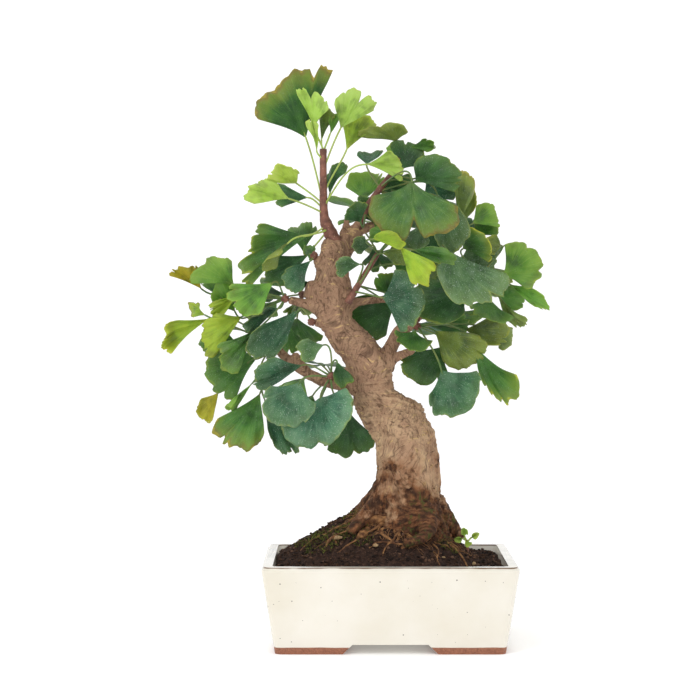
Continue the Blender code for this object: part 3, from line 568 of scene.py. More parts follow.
# Millimetres of relief: fibres up the trunk, lumps, and loose flakes near the soil
def barkLift(point):
    away, height = nearTrunk(point)
    slim = max(0.28, min(1, 1 - (away - 2) / 8))  # limbs have less relief than the trunk
    turn = math.atan2(point.y, point.x - 10) + height * 0.012
    waist = max(0, 1 - abs(point.z - trunk["waistHeight"]) / 22)
    twist = turn + point.z * 0.02 * waist
    fibre, strand = (ridged(Vector((twist * grain, point.z * up, layer)), seed)
                     for grain, up, layer, seed in trunk["fibres"])
    cross, plates, flakes, scales = (
        ridged(Vector((point.x * grain, point.y * grain, point.z * up)), seed)
        for grain, up, seed in trunk["ridges"])
    lumps = noise.noise(point * 0.055)
    grain = noise.noise(Vector((point.x * 0.5, point.y * 0.5, point.z * 0.22)))
    flaky = max(0, min(1, (trunk["flakyBelow"] - point.z) / 45))
    lift = lumps * 1.6 + fibre * (0.6 + waist) + strand * (0.35 + 0.6 * waist) + cross * 0.4
    lift += grain * 0.55 + max(0, plates - 0.35) * 1.4
    lift += flaky * (flakes * 2 + scales * 1.3 + grain * 0.9)
    return lift * slim


# Old ginkgo bark: matt and corky, tan ridges over brown cracks, dark and flaking at the base. Where
# the colour follows the relief, the crests get paler bark with a painted highlight and the deepest
# cracks get dark bark with painted shade
def barkMaterial():
    material, tree, shader = startMaterial("ginkgo bark", 0.88, 0.25)
    place = addNode(tree, "TexCoord", {}, "Object")
    relief = addNode(tree, "Attribute", {"attribute_name": "relief"}, "Fac")
    cloud = addNode(tree, "TexNoise", {"Vector": place, "Scale": every(31.25), "Detail": 9,
                                       "Roughness": 0.62})
    height = addNode(tree, "SeparateXYZ", {"Vector": place}, 2)
    # heights in metres that the cloud makes uneven, for colours that change up the trunk
    wander = addNode(tree, "Math", {"operation": "MULTIPLY_ADD", 0: cloud, 1: 0.13, 2: height})
    ragged = addNode(tree, "Math", {"operation": "MULTIPLY_ADD", 0: cloud, 1: 0.24, 2: height})
    foot = (ragged, 0.254, 0.242)
    # fibres run up the trunk, and short cracks and pale flecks cross it, 1.5 to 4 mm apart.
    # The bend turns both this way and that, as the grain swirls round old limbs
    swirl = addNode(tree, "TexNoise", {"Vector": place, "Scale": every(45.45),
                                       "Detail": 1}, "Color")
    bent = addNode(tree, "VectorMath", {"operation": "MULTIPLY_ADD", 0: swirl,
                                        1: (0.05, 0.05, 0.05), 2: place})
    upright = addNode(tree, "Mapping", {"Vector": bent, "Scale": (1, 1, 0.3)})
    level = addNode(tree, "Mapping", {"Vector": bent, "Scale": (0.45, 0.45, 1.5)})
    fibres = addNode(tree, "TexNoise", {"Vector": upright, "Scale": every(1.61), "Detail": 4,
                                        "Distortion": 0.6})
    cracks = addNode(tree, "TexNoise", {"Vector": level, "Scale": every(3.03), "Detail": 5,
                                        "Distortion": 0.8})
    plates = addNode(tree, "TexNoise", {"Vector": upright, "Scale": every(5.88), "Detail": 5,
                                        "Distortion": 1.2})
    rough = patches(tree, bent, 4.35, 0.38, 0.64, detail=8)
    base = addNode(tree, "Mix", {"data_type": "RGBA", 0: rough, 6: trunk["baseFlake"],
                                 7: trunk["baseLight"]}, 2)
    coat(tree, shader, trunk["bark"], [
        (patches(tree, place, 14.29, 0.42, 0.7, 0.8), trunk["barkLight"]),
        # the crests of the relief: paler bark and a painted highlight
        ((relief, 0.62, 0.9, 0.6), trunk["barkLight"]),
        ((wander, 0.25, 0.3, 0.75), trunk["barkPink"]),
        (patches(tree, level, 3.57, 0.62, 0.67, 0.8), trunk["fleck"]),
        ((ragged, 0.285, 0.25, 0.8), trunk["barkDamp"]),
        (foot, base),
        (foot, patches(tree, place, 13.33, 0.5, 0.62, 0.75), trunk["baseFlake"]),
        ((ragged, 0.24, 0.21), patches(tree, place, 3.85, 0.52, 0.6, 0.8, 6), trunk["moss"]),
        ((fibres, 0.5, 0.32, 0.5), trunk["crevice"]),
        ((plates, 0.44, 0.36, 0.5), trunk["crevice"]),
        ((cracks, 0.62, 0.7, 0.7), trunk["crevice"]),
        # the deepest places of the relief: dark bark and painted shade
        ((relief, 0.47, 0.16, 0.95), trunk["crevice"]),
    ], [(plates, 0.0028, 0.9), (fibres, 0.0014, 0.9), (cracks, 0.0013, 0.8)])
    return material


# The solid grown into small even cells and softened, then lifted into bark
def makeTrunk():
    bm = cadCopy("trunk")
    mesh = bpy.data.meshes.new("trunkSource")
    bm.to_mesh(mesh)
    bm.free()
    source = bpy.data.objects.new("trunkSource", mesh)
    bpy.context.scene.collection.objects.link(source)
    remesh = source.modifiers.new("remesh", "REMESH")
    remesh.mode = "VOXEL"
    remesh.voxel_size = trunk["voxel"] * mm
    soften = source.modifiers.new("soften", "SMOOTH")
    soften.iterations = trunk["smoothings"]
    graph = bpy.context.evaluated_depsgraph_get()
    fine = bpy.data.meshes.new_from_object(source.evaluated_get(graph))
    bpy.data.objects.remove(source)
    bm = bmesh.new()
    bm.from_mesh(fine)
    reliefLayer = bm.verts.layers.float.new("relief")
    bm.normal_update()
    for vertex in bm.verts:
        point = vertex.co / mm - potMiddle
        lift = barkLift(point)
        vertex[reliefLayer] = 0.5 + lift * 0.13  # the depth of the relief, for paler bark with a painted highlight on the crests and dark bark with painted shade in the cracks
        vertex.co += vertex.normal * lift * mm
    finishMesh("trunkAndLimbs", bm, barkMaterial(), ["trunk"])


roots = {
    "strands": [
        [(-4, -22, 3), (-16, -34, 2), (-34, -44, 1.4), (-52, -48, 1.2)],
        [(-10, -20, 2), (-30, -26, 2), (-50, -30, 1.4), (-70, -34, 1)],
        [(10, -30, 2), (4, -40, 2), (-4, -52, 1.4), (-6, -62, 1)],
        [(30, -28, 2), (40, -40, 1.6), (38, -54, 1.2), (44, -62, 1)],
        [(-14, -10, 2), (-36, -12, 2), (-58, -14, 1.6), (-78, -20, 1)],
        [(34, -24, 3), (26, -40, 2.4), (10, -46, 2), (-8, -46, 1.6), (-22, -54, 1)],
        [(44, -18, 2), (56, -28, 1.6), (66, -42, 1.2)],
        [(-8, 24, 3), (-28, 40, 2), (-50, 50, 1.4)],
        [(30, 28, 3), (44, 44, 2), (60, 52, 1.4)],
    ],  # x, y and thickness, laid over the soil
    "bare": [
        [(-31, -12, 101, 2.4), (-19, -20, 104, 3.8), (-5, -24, 105, 3.6), (8, -25, 106, 2)],
        [(36, -33, 96, 2.6), (27, -41, 90, 3), (13, -47, 84, 2.6), (2, -52, 79, 1.2)],
        [(-18, -26, 96, 3.6), (-23, -36, 93, 4.2), (-24, -40, 91.5, 3.8)],
        [(2, -27, 100, 1.4), (-8, -36, 96, 1.4), (4, -46, 87, 1.2), (6, -58, 74, 0.8)],
        [(-46, -30, 92, 1.2), (-53, -36, 84, 1.1), (-56, -50, 72, 0.8)],
        [(-46, -30, 92, 1.2), (-42, -42, 80, 1.1), (-33, -56, 70, 0.8)],
    ],  # x, y, z and radius of the thick roots in front
    "wraps": 34,
    "wrapTop": (108, 142),
    "wrapBottom": 84,
    "wrapSteps": 13,
    "threads": 90,
    "threadStep": 2.6,
    "threadReach": (88, 64),
    "colour": "#9a6f46",
    "dark": "#553622",
}


# Bare surface roots: thin orange-brown skin, matt, with darker rings
def rootMaterial():
    material, tree, shader = startMaterial("root skin", 0.8, 0.3)
    place = addNode(tree, "TexCoord", {}, "Object")
    fine = addNode(tree, "TexNoise", {"Vector": place, "Scale": every(1.11), "Detail": 3})
    coat(tree, shader, roots["dark"], [(patches(tree, place, 4.17, 0.38, 0.64), roots["colour"])],
         [(fine, 0.0005, 0.6)])
    return material


# Round strands through points and radii in metres, as one mesh
def tubesMesh(name, paths, sides=2):
    curve = bpy.data.curves.new(name, "CURVE")
    curve.dimensions = "3D"
    curve.bevel_depth = 1
    curve.bevel_resolution = sides
    curve.use_fill_caps = True
    for path in paths:
        spline = curve.splines.new("POLY")
        spline.points.add(len(path) - 1)
        for point, (place, radius) in zip(spline.points, path):
            point.co = (*place, 1)
            point.radius = radius
    source = bpy.data.objects.new(name, curve)
    bpy.context.scene.collection.objects.link(source)
    graph = bpy.context.evaluated_depsgraph_get()
    mesh = bpy.data.meshes.new_from_object(source.evaluated_get(graph))
    bpy.data.objects.remove(source)
    bm = bmesh.new()
    bm.from_mesh(mesh)
    bmesh.ops.remove_doubles(bm, verts=bm.verts, dist=0.000005)
    bmesh.ops.recalc_face_normals(bm, faces=bm.faces)
    return bm


# Rows of numbers with a smooth curve put through them
def smoothPath(rows, steps):
    result = []
    for place in range(len(rows) - 1):
        corners = [rows[max(place - 1, 0)], rows[place], rows[place + 1],
                   rows[min(place + 2, len(rows) - 1)]]
        for step in range(steps):
            t = step / steps
            result.append([0.5 * (2 * b + (c - a) * t + (2 * a - 5 * b + 4 * c - d) * t * t
                                  + (3 * b - a - 3 * c + d) * t ** 3)
                           for a, b, c, d in zip(*corners)])
    result.append(list(rows[-1]))
    return result


# A strand laid over the soil, whose end dives into it
def laidStrand(number, strand):
    rows = smoothPath(strand, 8)
    path = []
    for place, (x, y, thick) in enumerate(rows):
        wander = noise.noise(Vector((x * 0.1, y * 0.1, number))) * 2.5
        dive = max(0, place / (len(rows) - 1) - 0.8) * 12
        z = soilHeight(x, y) + crumbLift(x, y) * 0.4 + thick * 0.35 - dive
        path.append((toFrame((x + wander, y, z)), thick * 0.5 * mm))
    return path


def bareStrand(strand):
    path = []
    for x, y, z, radius in smoothPath(strand, 8):
        knot = 1 + 0.3 * noise.noise(Vector((x * 0.3, y * 0.3, z * 0.3)))
        path.append((toFrame((x, y, z)), radius * knot * mm))
    return path


# A strand that clings to the flare of the trunk and twists round it
def wrapStrand(draw):
    angle = draw.uniform(0, math.tau)
    top = draw.uniform(*roots["wrapTop"])
    turn = draw.uniform(-0.9, 0.9)
    thick = draw.uniform(0.5, 1.9)
    steps = roots["wrapSteps"]
    path = []
    for step in range(steps + 1):
        z = top - step * (top - roots["wrapBottom"]) / steps
        # the trunk is round down to 126 mm and flares below
        away = (24 + (126 - z) * 16 / 60 if z < 126 else 24.3) + draw.uniform(-0.3, 0.6)
        bend = angle + turn * step / steps + 0.12 * math.sin(step * 0.9 + angle)
        x = soil["trunkAt"] + away * math.cos(bend)
        path.append((toFrame((x, away * math.sin(bend), z)),
                     thick * mm * (0.55 + 0.5 * step / steps)))
    return path


# A fine thread that wanders over the soil from the front or the sides of the trunk
def threadStrand(draw):
    angle = draw.uniform(math.pi * 0.95, math.tau * 1.02)
    x = soil["trunkAt"] + 30 * math.cos(angle)
    y = 24 * math.sin(angle)
    heading = angle + draw.uniform(-0.9, 0.9)
    path = []
    thick = draw.uniform(0.25, 0.55)
    for step in range(draw.randint(8, 16)):
        z = soilHeight(x, y) + crumbLift(x, y) * 0.6 + thick + draw.uniform(-0.3, 1.2)
        path.append((toFrame((x, y, z)), thick * mm * (1 - step * 0.04)))
        heading += draw.uniform(-0.5, 0.5)
        x += roots["threadStep"] * math.cos(heading)
        y += roots["threadStep"] * math.sin(heading)
        if abs(x) > roots["threadReach"][0] or abs(y) > roots["threadReach"][1]:
            break
    return path


def makeRoots():
    draw = random.Random(14)
    paths = [laidStrand(number, strand) for number, strand in enumerate(roots["strands"])]
    paths += [bareStrand(strand) for strand in roots["bare"]]
    paths += [wrapStrand(draw) for _ in range(roots["wraps"])]
    threads = [threadStrand(draw) for _ in range(roots["threads"])]
    paths += [path for path in threads if len(path) > 3]
    bm = tubesMesh("rootStrands", paths, 1)
    finishMesh("surfaceRoots", bm, rootMaterial(), [])


makeTrunk()
makeRoots()
print("trunk and roots ready")


# Leaves: each blade is a fan from the top of its stalk

foliage = {
    "stemSunk": 9,  # mm of a stem inside its limb
    "columns": 40,
    "rows": 14,
    "thickness": 0.4,
    "waist": 0.3,
    # how many across a blade, layer and height of the scallops of its edge
    "scallops": ((2.2, 0, 0.09), (6, 4, 0.055), (17, 8, 0.026)),
    "wave": 3.2,  # mm on a blade of 40 mm or more, as are the frill and the folds
    "frill": 1.2,
    "folds": 4.5,
    "bow": 0.08,  # of a blade's length, as is the roll of its edge
    "roll": 0.07,
    "spread": 1.1,  # the corners are rounded, so the sides start a little outside them
    "stalkRadius": 0.75,
    "bud": 3.3,
    "budGap": 0.4,  # between the end of a limb and its bud
    "goldenAngle": math.radians(137.5),
    "cleftWidth": 0.12,
    "largeLeaf": 22,  # mm from stalk to edge, from which a blade has small extra splits
    "tones": {  # the leaf's own green, the green of its veins and edge, and its dust
        "young": ("#a3c348", "#c4da78", 0), "lime": ("#86a82c", "#b5c63e", 0.1),
        "fresh": ("#5c8e2e", "#94b64c", 0.15), "mid": ("#3f6d29", "#6f9a45", 0.3),
        "dark": ("#274d24", "#4a7a3a", 0.3), "deep": ("#2b541f", "#5a8a30", 0.15),
        "teal": ("#2a5537", "#57845a", 0.7), "blue": ("#3f7052", "#78a67c", 0.8),
        "olive": ("#5d7330", "#93a54c", 0.4), "grey": ("#46673b", "#7a9764", 0.8),
        "gold": ("#a89c22", "#cbbf3c", 0), "scar": ("#365d26", "#66853c", 0.3),
    },
    "rim": "#bcba38",
    "scorch": "#74462f",
    # the dark green of the painted shade within the crown
    "paintedShade": "#1b331c",
    "bloom": "#8ba38a",
    "dust": "#c3d0c2",
    "youngStalk": "#a3bb58",
    "stalk": "#56733a",
    "stalkTinge": "#8c8a4a",
    "wood": "#8a5a49",
    "woodDark": "#5e3c31",
    "pore": "#b89478",
}


# The place at a depth that the camera sees at a point of the photograph
def toDepth(reading, depth):
    eyeX, eyeY, eyeZ = camera["place"]
    share = (depth - eyeY) / -eyeY
    return Vector((eyeX + (reading[0] - eyeX) * share, depth,
                   eyeZ + (reading[1] - eyeZ) * share))


# Where the stalk meets the blade, then the left, middle and right of the outer edge as read
# from the photograph. Lean tips the edge to the camera and turn brings the left side nearer
def leaf(tone, base, left, middle, right, depth, lean=8, turn=0, root=None, via=None, cup=3,
         cleft=0, cleftAt=0, rim=0.2, scorch=0):
    return {
        "base": toDepth(base, depth + lean / 2),
        "left": toDepth(left, depth - lean * 0.3 - turn / 2),
        "middle": toDepth(middle, depth - lean / 2),
        "right": toDepth(right, depth - lean * 0.3 + turn / 2),
        "root": root, "via": via, "cup": cup, "cleft": cleft, "cleftAt": cleftAt,
        "tone": tone, "rim": rim, "scorch": scorch,
    }


# A ray from the stalk to the edge, where s is -1 at the left corner and 1 at the right
def bladeRay(form, s):
    rays = [form[side] - form["base"] for side in ("left", "middle", "right")]
    low, mid, high = (ray.length for ray in rays)
    length = mid + (high - low) / 2 * s + ((high + low) / 2 - mid) * s * s
    pair = (rays[0], rays[1], s + 1) if s < 0 else (rays[1], rays[2], s)
    return pair[0].normalized().slerp(pair[1].normalized(), pair[2]) * length


# How far out the edge reaches: less at the cleft and corners, with small uneven scallops
def edgeShare(form, s):
    seed = form["seed"]
    share = 1.06 - 0.13 * s ** 6 + 0.012 * math.cos(9 * s + seed)
    for number, layer, height in foliage["scallops"]:
        share += height * noise.noise(Vector((s * number, seed, layer)))
    for place, depth, width in form["notches"]:
        share -= depth * max(0, 1 - abs(s - place) / width) ** 0.8
    return share


# A point of the blade, where t is 0 at the stalk and 1 at the edge
def bladePoint(form, s, t):
    drawnIn = s * (foliage["spread"] - foliage["waist"] * (1 - t) ** 1.5)
    ray = bladeRay(form, drawnIn)
    reach = t * edgeShare(form, s)
    size = form["middle"] - form["base"]
    share = min(1, size.length / 40)
    lift = form["cup"] * (s * s - 0.3) * t
    lift += foliage["wave"] * share * math.sin(4.3 * s + form["seed"]) * t * t
    lift += foliage["frill"] * share * math.sin(11 * s + form["seed"] * 2) * t ** 3
    folds = noise.noise(Vector((s * 1.6, t * 2.2, form["seed"])))
    lift += foliage["folds"] * share * folds * t
    lift -= foliage["bow"] * size.length * math.sin(t * math.pi) * form["bow"]
    lift -= foliage["roll"] * size.length * max(0, t - 0.8) / 0.2 * form["roll"]
    return form["base"] + ray * reach + form["facing"] * lift


# What one leaf has of its own: the way it faces, its bends and its splits
def prepareLeaf(form, number):
    across = form["right"] - form["left"]
    facing = across.cross(form["middle"] - form["base"]).normalized()
    if facing.y > 0:
        facing.negate()
    form["facing"] = facing
    form["seed"] = number * 1.37
    form["bow"] = math.sin(number * 2.1)
    form["roll"] = math.cos(number * 1.3)
    form["notches"] = [(form["cleftAt"], form["cleft"], foliage["cleftWidth"])]
    if (form["middle"] - form["base"]).length > foliage["largeLeaf"]:
        for turn in (1, 2):
            place = 0.75 * math.sin(number * 2.7 * turn + turn)
            depth = 0.1 + 0.07 * math.cos(number * 3.1 + turn)
            form["notches"].append((place, depth, 0.06))


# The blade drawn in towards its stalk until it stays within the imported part
def insideBox(form):
    low, high = cadBox
    for share in (1, 0.97, 0.94, 0.91, 0.88, 0.85):
        trial = dict(form)
        for key in ("left", "middle", "right"):
            trial[key] = form["base"] + (form[key] - form["base"]) * share
        edge = [toFrame(bladePoint(trial, step / 20 - 1, 1)) for step in range(41)]
        if all(low[axis] < point[axis] < high[axis] for point in edge for axis in range(3)):
            break
    return trial


# A flat grid whose points are moved on to the blade
def addBlade(bm, layers, form):
    form = insideBox(form)
    made = bmesh.ops.create_grid(bm, x_segments=foliage["columns"], y_segments=foliage["rows"],
                                 size=1)
    places = {}
    for vertex in made["verts"]:
        s = max(-1, min(1, vertex.co.x))
        t = 0.035 + 0.965 * (vertex.co.y + 1) / 2  # a little wide at the stalk already
        places[vertex] = (s, t)
    faces = set()
    for vertex, (s, t) in places.items():
        vertex.co = toFrame(bladePoint(form, s, t))
        vertex[layers["tone"]] = form["colour"]
        vertex[layers["pale"]] = form["pale"]
        vertex[layers["marks"]] = (form["rim"], form["scorch"], form["dust"], 1)
        faces.update(vertex.link_faces)
    for face in faces:
        for loop in face.loops:
            s, t = places[loop.vert]
            loop[layers["uv"]].uv = ((s + 1) / 2, t)


# A curved stalk from its root, through via where one is given, into the blade
def stalkPath(form):
    root = Vector(form["root"])
    base = form["base"]
    axis = (form["middle"] - base).normalized()
    reach = (base - root).length
    lead = base - axis * reach * 0.3
    via = Vector(form["via"] or root + (base - root) * 0.35 + Vector((0, 0, reach * 0.05)))
    into = bladePoint(form, 0, 0.09)
    path = []
    steps = 12
    for step in range(steps + 1):
        t = step / steps
        place = (root * (1 - t) ** 3 + via * 3 * t * (1 - t) ** 2 + lead * 3 * t * t * (1 - t)
                 + base * t ** 3)
        swell = 1.5 if step == 0 else 1.18 if step == 1 else 1
        path.append((toFrame(place), foliage["stalkRadius"] * swell * mm))
    path.append((toFrame(into), foliage["stalkRadius"] * 0.5 * mm))
    return path


# Ginkgo leaf: thin and satin, with fan veins, dust, a yellow or scorched rim, and dark cloudy
# patches of painted shade
def leafMaterial():
    material, tree, shader = startMaterial("ginkgo leaf", 0.42, 0.32)
    shader.inputs["Subsurface Weight"].default_value = 0.1
    shader.inputs["Subsurface Radius"].default_value = (0.4, 0.8, 0.2)
    shader.inputs["Subsurface Scale"].default_value = 0.002
    tone = addNode(tree, "Attribute", {"attribute_name": "tone"})
    pale = addNode(tree, "Attribute", {"attribute_name": "pale"})
    marks = {"Color": addNode(tree, "Attribute", {"attribute_name": "marks"})}
    place = addNode(tree, "TexCoord", {}, "Object")
    blade = addNode(tree, "TexCoord", {}, "UV")
    along = addNode(tree, "SeparateXYZ", {"Vector": blade}, 1)
    # veins fan out from the stalk, 62 across a blade: finer across it than along it, and a
    # little coarser than life so that they show
    fan = addNode(tree, "Mapping", {"Vector": blade, "Scale": (62, 2.2, 1)})
    veins = addNode(tree, "TexNoise", {"Vector": fan, "Scale": 1, "Detail": 2})
    clouds = addNode(tree, "TexNoise", {"Vector": place, "Scale": every(12.5), "Detail": 4})
    frayed = addNode(tree, "TexNoise", {"Vector": place, "Scale": every(7.69), "Detail": 4})
    ragged = addNode(tree, "Math", {"operation": "MULTIPLY_ADD", 0: frayed, 1: 0.22, 2: along})
    rim, scorch, dusty = (addNode(tree, "SeparateColor", marks, channel)
                          for channel in range(3))
    coat(tree, shader, tone, [
        # painted shade: dark cloudy patches over the blades, for the shadows within the crown
        ((clouds, 0.5, 0.3, 0.7), foliage["paintedShade"]),
        ((clouds, 0.5, 0.72, 0.4), pale),
        ((along, 0.6, 1, 0.35), pale),
        ((veins, 0.52, 0.68, 0.42), pale),
        ((along, 0.25, 0.02, 0.6), pale),
        ((ragged, 0.8, 1.12, 0.35), rim, foliage["rim"]),
        (patches(tree, place, 9.09, 0.5, 0.75, 0.3), dusty, foliage["bloom"]),
        (patches(tree, place, 0.833, 0.62, 0.7, 0.6, 2), dusty, foliage["dust"]),
        ((ragged, 1.08, 1.11), rim, foliage["rim"]),
        ((ragged, 1.02, 1.08), scorch, foliage["scorch"]),
    ], [(veins, 0.0006, 0.7), (clouds, 0.003, 0.35)])
    gloss = addNode(tree, "MapRange", {"Value": clouds, "From Min": 0.3, "From Max": 0.7,
                                       "To Min": 0.38, "To Max": 0.58})
    tree.links.new(gloss, shader.inputs["Roughness"])
    return material


# Fresh green stalks: smooth and waxy
def stalkMaterial(name, code):
    material, tree, shader = startMaterial(name, 0.42, 0.4)
    place = addNode(tree, "TexCoord", {}, "Object")
    fine = addNode(tree, "TexNoise", {"Vector": place, "Scale": every(1.43), "Detail": 2})
    tinge = patches(tree, place, 8.33, 0.4, 0.7, 0.5, 2)
    coat(tree, shader, code, [(tinge, foliage["stalkTinge"])], [(fine, 0.0002, 0.4)])
    return material


# Last year's wood: thin red-brown skin with pale pores
def shootBarkMaterial():
    material, tree, shader = startMaterial("young shoot bark", 0.6, 0.4)
    place = addNode(tree, "TexCoord", {}, "Object")
    fine = addNode(tree, "TexNoise", {"Vector": place, "Scale": every(2), "Detail": 3})
    coat(tree, shader, foliage["woodDark"], [
        (patches(tree, place, 6.25, 0.4, 0.65), foliage["wood"]),
        (patches(tree, place, 1.54, 0.64, 0.7, 0.7, 3), foliage["pore"]),
    ], [(fine, 0.0006, 0.6)])
    return material


bladeMaterial = leafMaterial()
youngStalkMaterial = stalkMaterial("young leaf stalk", foliage["youngStalk"])
oldStalkMaterial = stalkMaterial("leaf stalk", foliage["stalk"])
shootMaterial = shootBarkMaterial()


def makeBlades(name, leaves, node):
    bm = bmesh.new()
    layers = {key: bm.verts.layers.float_color.new(key) for key in ("tone", "pale", "marks")}
    layers["uv"] = bm.loops.layers.uv.new("blade")
    for form in leaves:
        addBlade(bm, layers, form)
    piece = finishMesh(f"{name}Blades", bm, bladeMaterial, [node])
    thicken = piece.modifiers.new("thickness", "SOLIDIFY")
    thicken.thickness = foliage["thickness"] * mm
    thicken.offset = 0


# The leaf's own greens, a little lighter or darker than its neighbours
def tintLeaf(form, draw):
    own, edge, form["dust"] = foliage["tones"][form["tone"]]
    light = draw.uniform(0.8, 1.15)
    warm = draw.uniform(0.92, 1.08)
    for key, code in (("colour", own), ("pale", edge)):
        red, green, blue, _ = hexLinear(code)
        form[key] = (red * light * warm, green * light, blue * light / warm, 1)


# A short spur: a knob of old bud scales in low rings
def addBud(bm, middle, radius):
    made = bmesh.ops.create_uvsphere(bm, u_segments=20, v_segments=16, radius=radius * mm)
    for vertex in made["verts"]:
        spot = vertex.co / mm
        rings = 1 + 0.07 * math.sin(spot.z * 6) + 0.4 * noise.noise(spot * 0.6 + Vector(middle))
        vertex.co = Vector((vertex.co.x * rings, vertex.co.y * rings, vertex.co.z * rings))
        vertex.co += toFrame(middle)


# Where the bud sits on the end of a limb
def budMiddle(before, end):
    before = Vector(before)
    end = Vector(end)
    return end + (end - before).normalized() * (foliage["bud"] + foliage["budGap"])


# Blades, stalks and wood of one shoot, in place of the node that the shoot is named after
def makeShoot(number, name, shoot):
    stem, leaves, young = shoot.get("stem"), shoot["leaves"], shoot.get("young", False)
    node = shoot.get("node") or "".join(
        "_" + letter.lower() if letter.isupper() else letter for letter in name)
    bud = shoot.get("bud") or (stem[0][:3] if stem else budMiddle(*shoot["limbEnd"]))
    draw = random.Random(number * 31 + 7)
    for place, form in enumerate(leaves):
        form["root"] = form["root"] or bud
        prepareLeaf(form, number * 17 + place)
        tintLeaf(form, draw)
    makeBlades(name, leaves, node)
    bm = tubesMesh(f"{name}StalkCurve", [stalkPath(form) for form in leaves])
    stalkSurface = youngStalkMaterial if young else oldStalkMaterial
    finishMesh(f"{name}Stalks", bm, stalkSurface, [node])
    if stem:
        first, second = Vector(stem[0][:3]), Vector(stem[1][:3])
        sunk = first - (second - first).normalized() * foliage["stemSunk"]
        rows = smoothPath([(*sunk, stem[0][3]), *stem], 8)
        path = []
        for x, y, z, radius in rows:
            swell = 1 + 0.1 * noise.noise(Vector((z * 0.35, 2, number)))
            path.append((toFrame((x, y, z)), radius * swell * mm))
        bm = tubesMesh(f"{name}StemCurve", [path], 4)
    else:
        bm = bmesh.new()
        addBud(bm, bud, foliage["bud"])
    finishMesh(f"{name}Wood", bm, shootMaterial, [node])


# Leaves spread round the end of a limb by the golden angle, open and drooping at random
def backLeaves(before, end, start, seed, count, stalk, blade):
    draw = random.Random(seed)
    middle = budMiddle(before, end)
    outward = (middle - Vector(start)).normalized()
    outward.z *= 0.4
    outward.normalize()
    side = outward.cross(Vector((0, 0, 1))).normalized()
    up = side.cross(outward)
    leaves = []
    for number in range(count):
        angle = number * foliage["goldenAngle"] + seed
        openOut = math.radians(draw.uniform(25, 75))
        ray = (outward * math.cos(openOut)
               + (side * math.cos(angle) + up * math.sin(angle)) * math.sin(openOut))
        base = middle + ray * stalk * draw.uniform(0.75, 1.15)
        droop = (ray + Vector((0, 0.35, -0.45))).normalized()
        over = droop.cross(Vector((0, 0.3, 1))).normalized()
        long = blade * draw.uniform(0.75, 1.1)
        wide = long * draw.uniform(0.55, 0.75)
        leaves.append({
            "base": base, "middle": base + droop * long, "root": None, "via": None,
            "left": base + droop * long * 0.62 - over * wide,
            "right": base + droop * long * 0.62 + over * wide,
            "cup": draw.uniform(2, 6), "cleft": 0.3 if number % 3 == 0 else 0,
            "cleftAt": draw.uniform(-0.2, 0.2), "rim": 0.3, "scorch": 0,
            "tone": ("mid", "dark", "fresh", "olive", "teal")[number % 5],
        })
    return leaves


apexShoot = {
    "stem": [(-48, 0, 341, 6), (-53, 0, 352, 5), (-55, 0, 362, 3.6), (-55.5, 0, 390, 3),
             (-55.5, 0, 415, 3)],
    "young": True,
    "leaves": [
        leaf("deep", (-70, 424), (-118, 447), (-88, 475), (-48, 491), 8, 10, 14, (-55, 0, 366),
             cup=6, rim=0.9, scorch=0.5),
        leaf("young", (-63, 433), (-78, 464), (-69, 462), (-51, 451), -8, 8, 4, (-55.5, -1, 414),
             cleft=0.3, cleftAt=0.1),
        leaf("young", (-61, 413), (-71, 436), (-67, 438), (-63, 436), -5, 4, 8, (-55.5, -1, 405)),
        leaf("olive", (-57, 422), (-60, 446), (-55, 449), (-48, 444), 8, 4, 6, (-55.5, 0, 412)),
        leaf("fresh", (-50, 427), (-49.5, 441), (-44, 446), (-39, 445), 4, 4, -10,
             (-55.5, 0, 412)),
        leaf("young", (-41, 432), (-45, 456), (-25, 462), (-11, 450), -8, 10, 0, (-55, 0, 398),
             cleft=0.3, cleftAt=0.2),
        leaf("lime", (-36, 414), (-38, 436), (-24, 444), (-11, 434), 4, -8, 0, (-54, 1, 380),
             cup=5),
        leaf("young", (-19, 402), (1, 413), (9, 402), (12, 389), -12, 8, 0, (-54, -1, 368),
             via=(-40, -8, 392)),
        leaf("young", (-78, 386), (-105, 391), (-95, 398), (-80, 401), -10, 26, 8, (-55, -1, 368)),
        leaf("young", (-84, 373), (-117, 370), (-113, 382), (-99, 390), -18, 20, 10,
             (-54, -1, 360)),
        leaf("dark", (-68, 374), (-93, 366), (-98, 377), (-93, 386), 12, -14, 0, (-55, 1, 364)),
        leaf("dark", (-50, 377), (-52, 392), (-43, 402), (-35, 397), 12, -6, -8, (-54, 1, 364)),
        leaf("mid", (-68, 342), (-109, 352), (-119, 331), (-122, 302), -10, 12, 6, (-52, -2, 350),
             cup=5, cleft=0.14, cleftAt=0.2, rim=0.4),
        leaf("olive", (-85, 336), (-95, 330), (-104, 316), (-97, 317), -26, 4, 14, (-52, -3, 347),
             via=(-66, -14, 340)),
        leaf("mid", (-72, 328), (-86, 345), (-73, 352), (-61, 348), 14, -10, 0, (-52, 3, 346),
             via=(-60, 18, 338)),
    ],
}
makeShoot(0, "apexShoot", apexShoot)

leftUpperShoot = {
    "limbEnd": ((-58, -4, 318), (-61, -5, 322)),
    "leaves": [
        leaf("mid", (-67, 322), (-72, 328), (-66, 334), (-62, 329), 2, -14, 0, cup=1),
        leaf("dark", (-68, 326), (-97, 324), (-102, 309), (-88, 300), 2, -6, 0),
        leaf("teal", (-66, 321), (-85, 315), (-87, 304), (-75, 294), -16, 12, 8, cup=5),
    ],
}
makeShoot(1, "leftUpperShoot", leftUpperShoot)

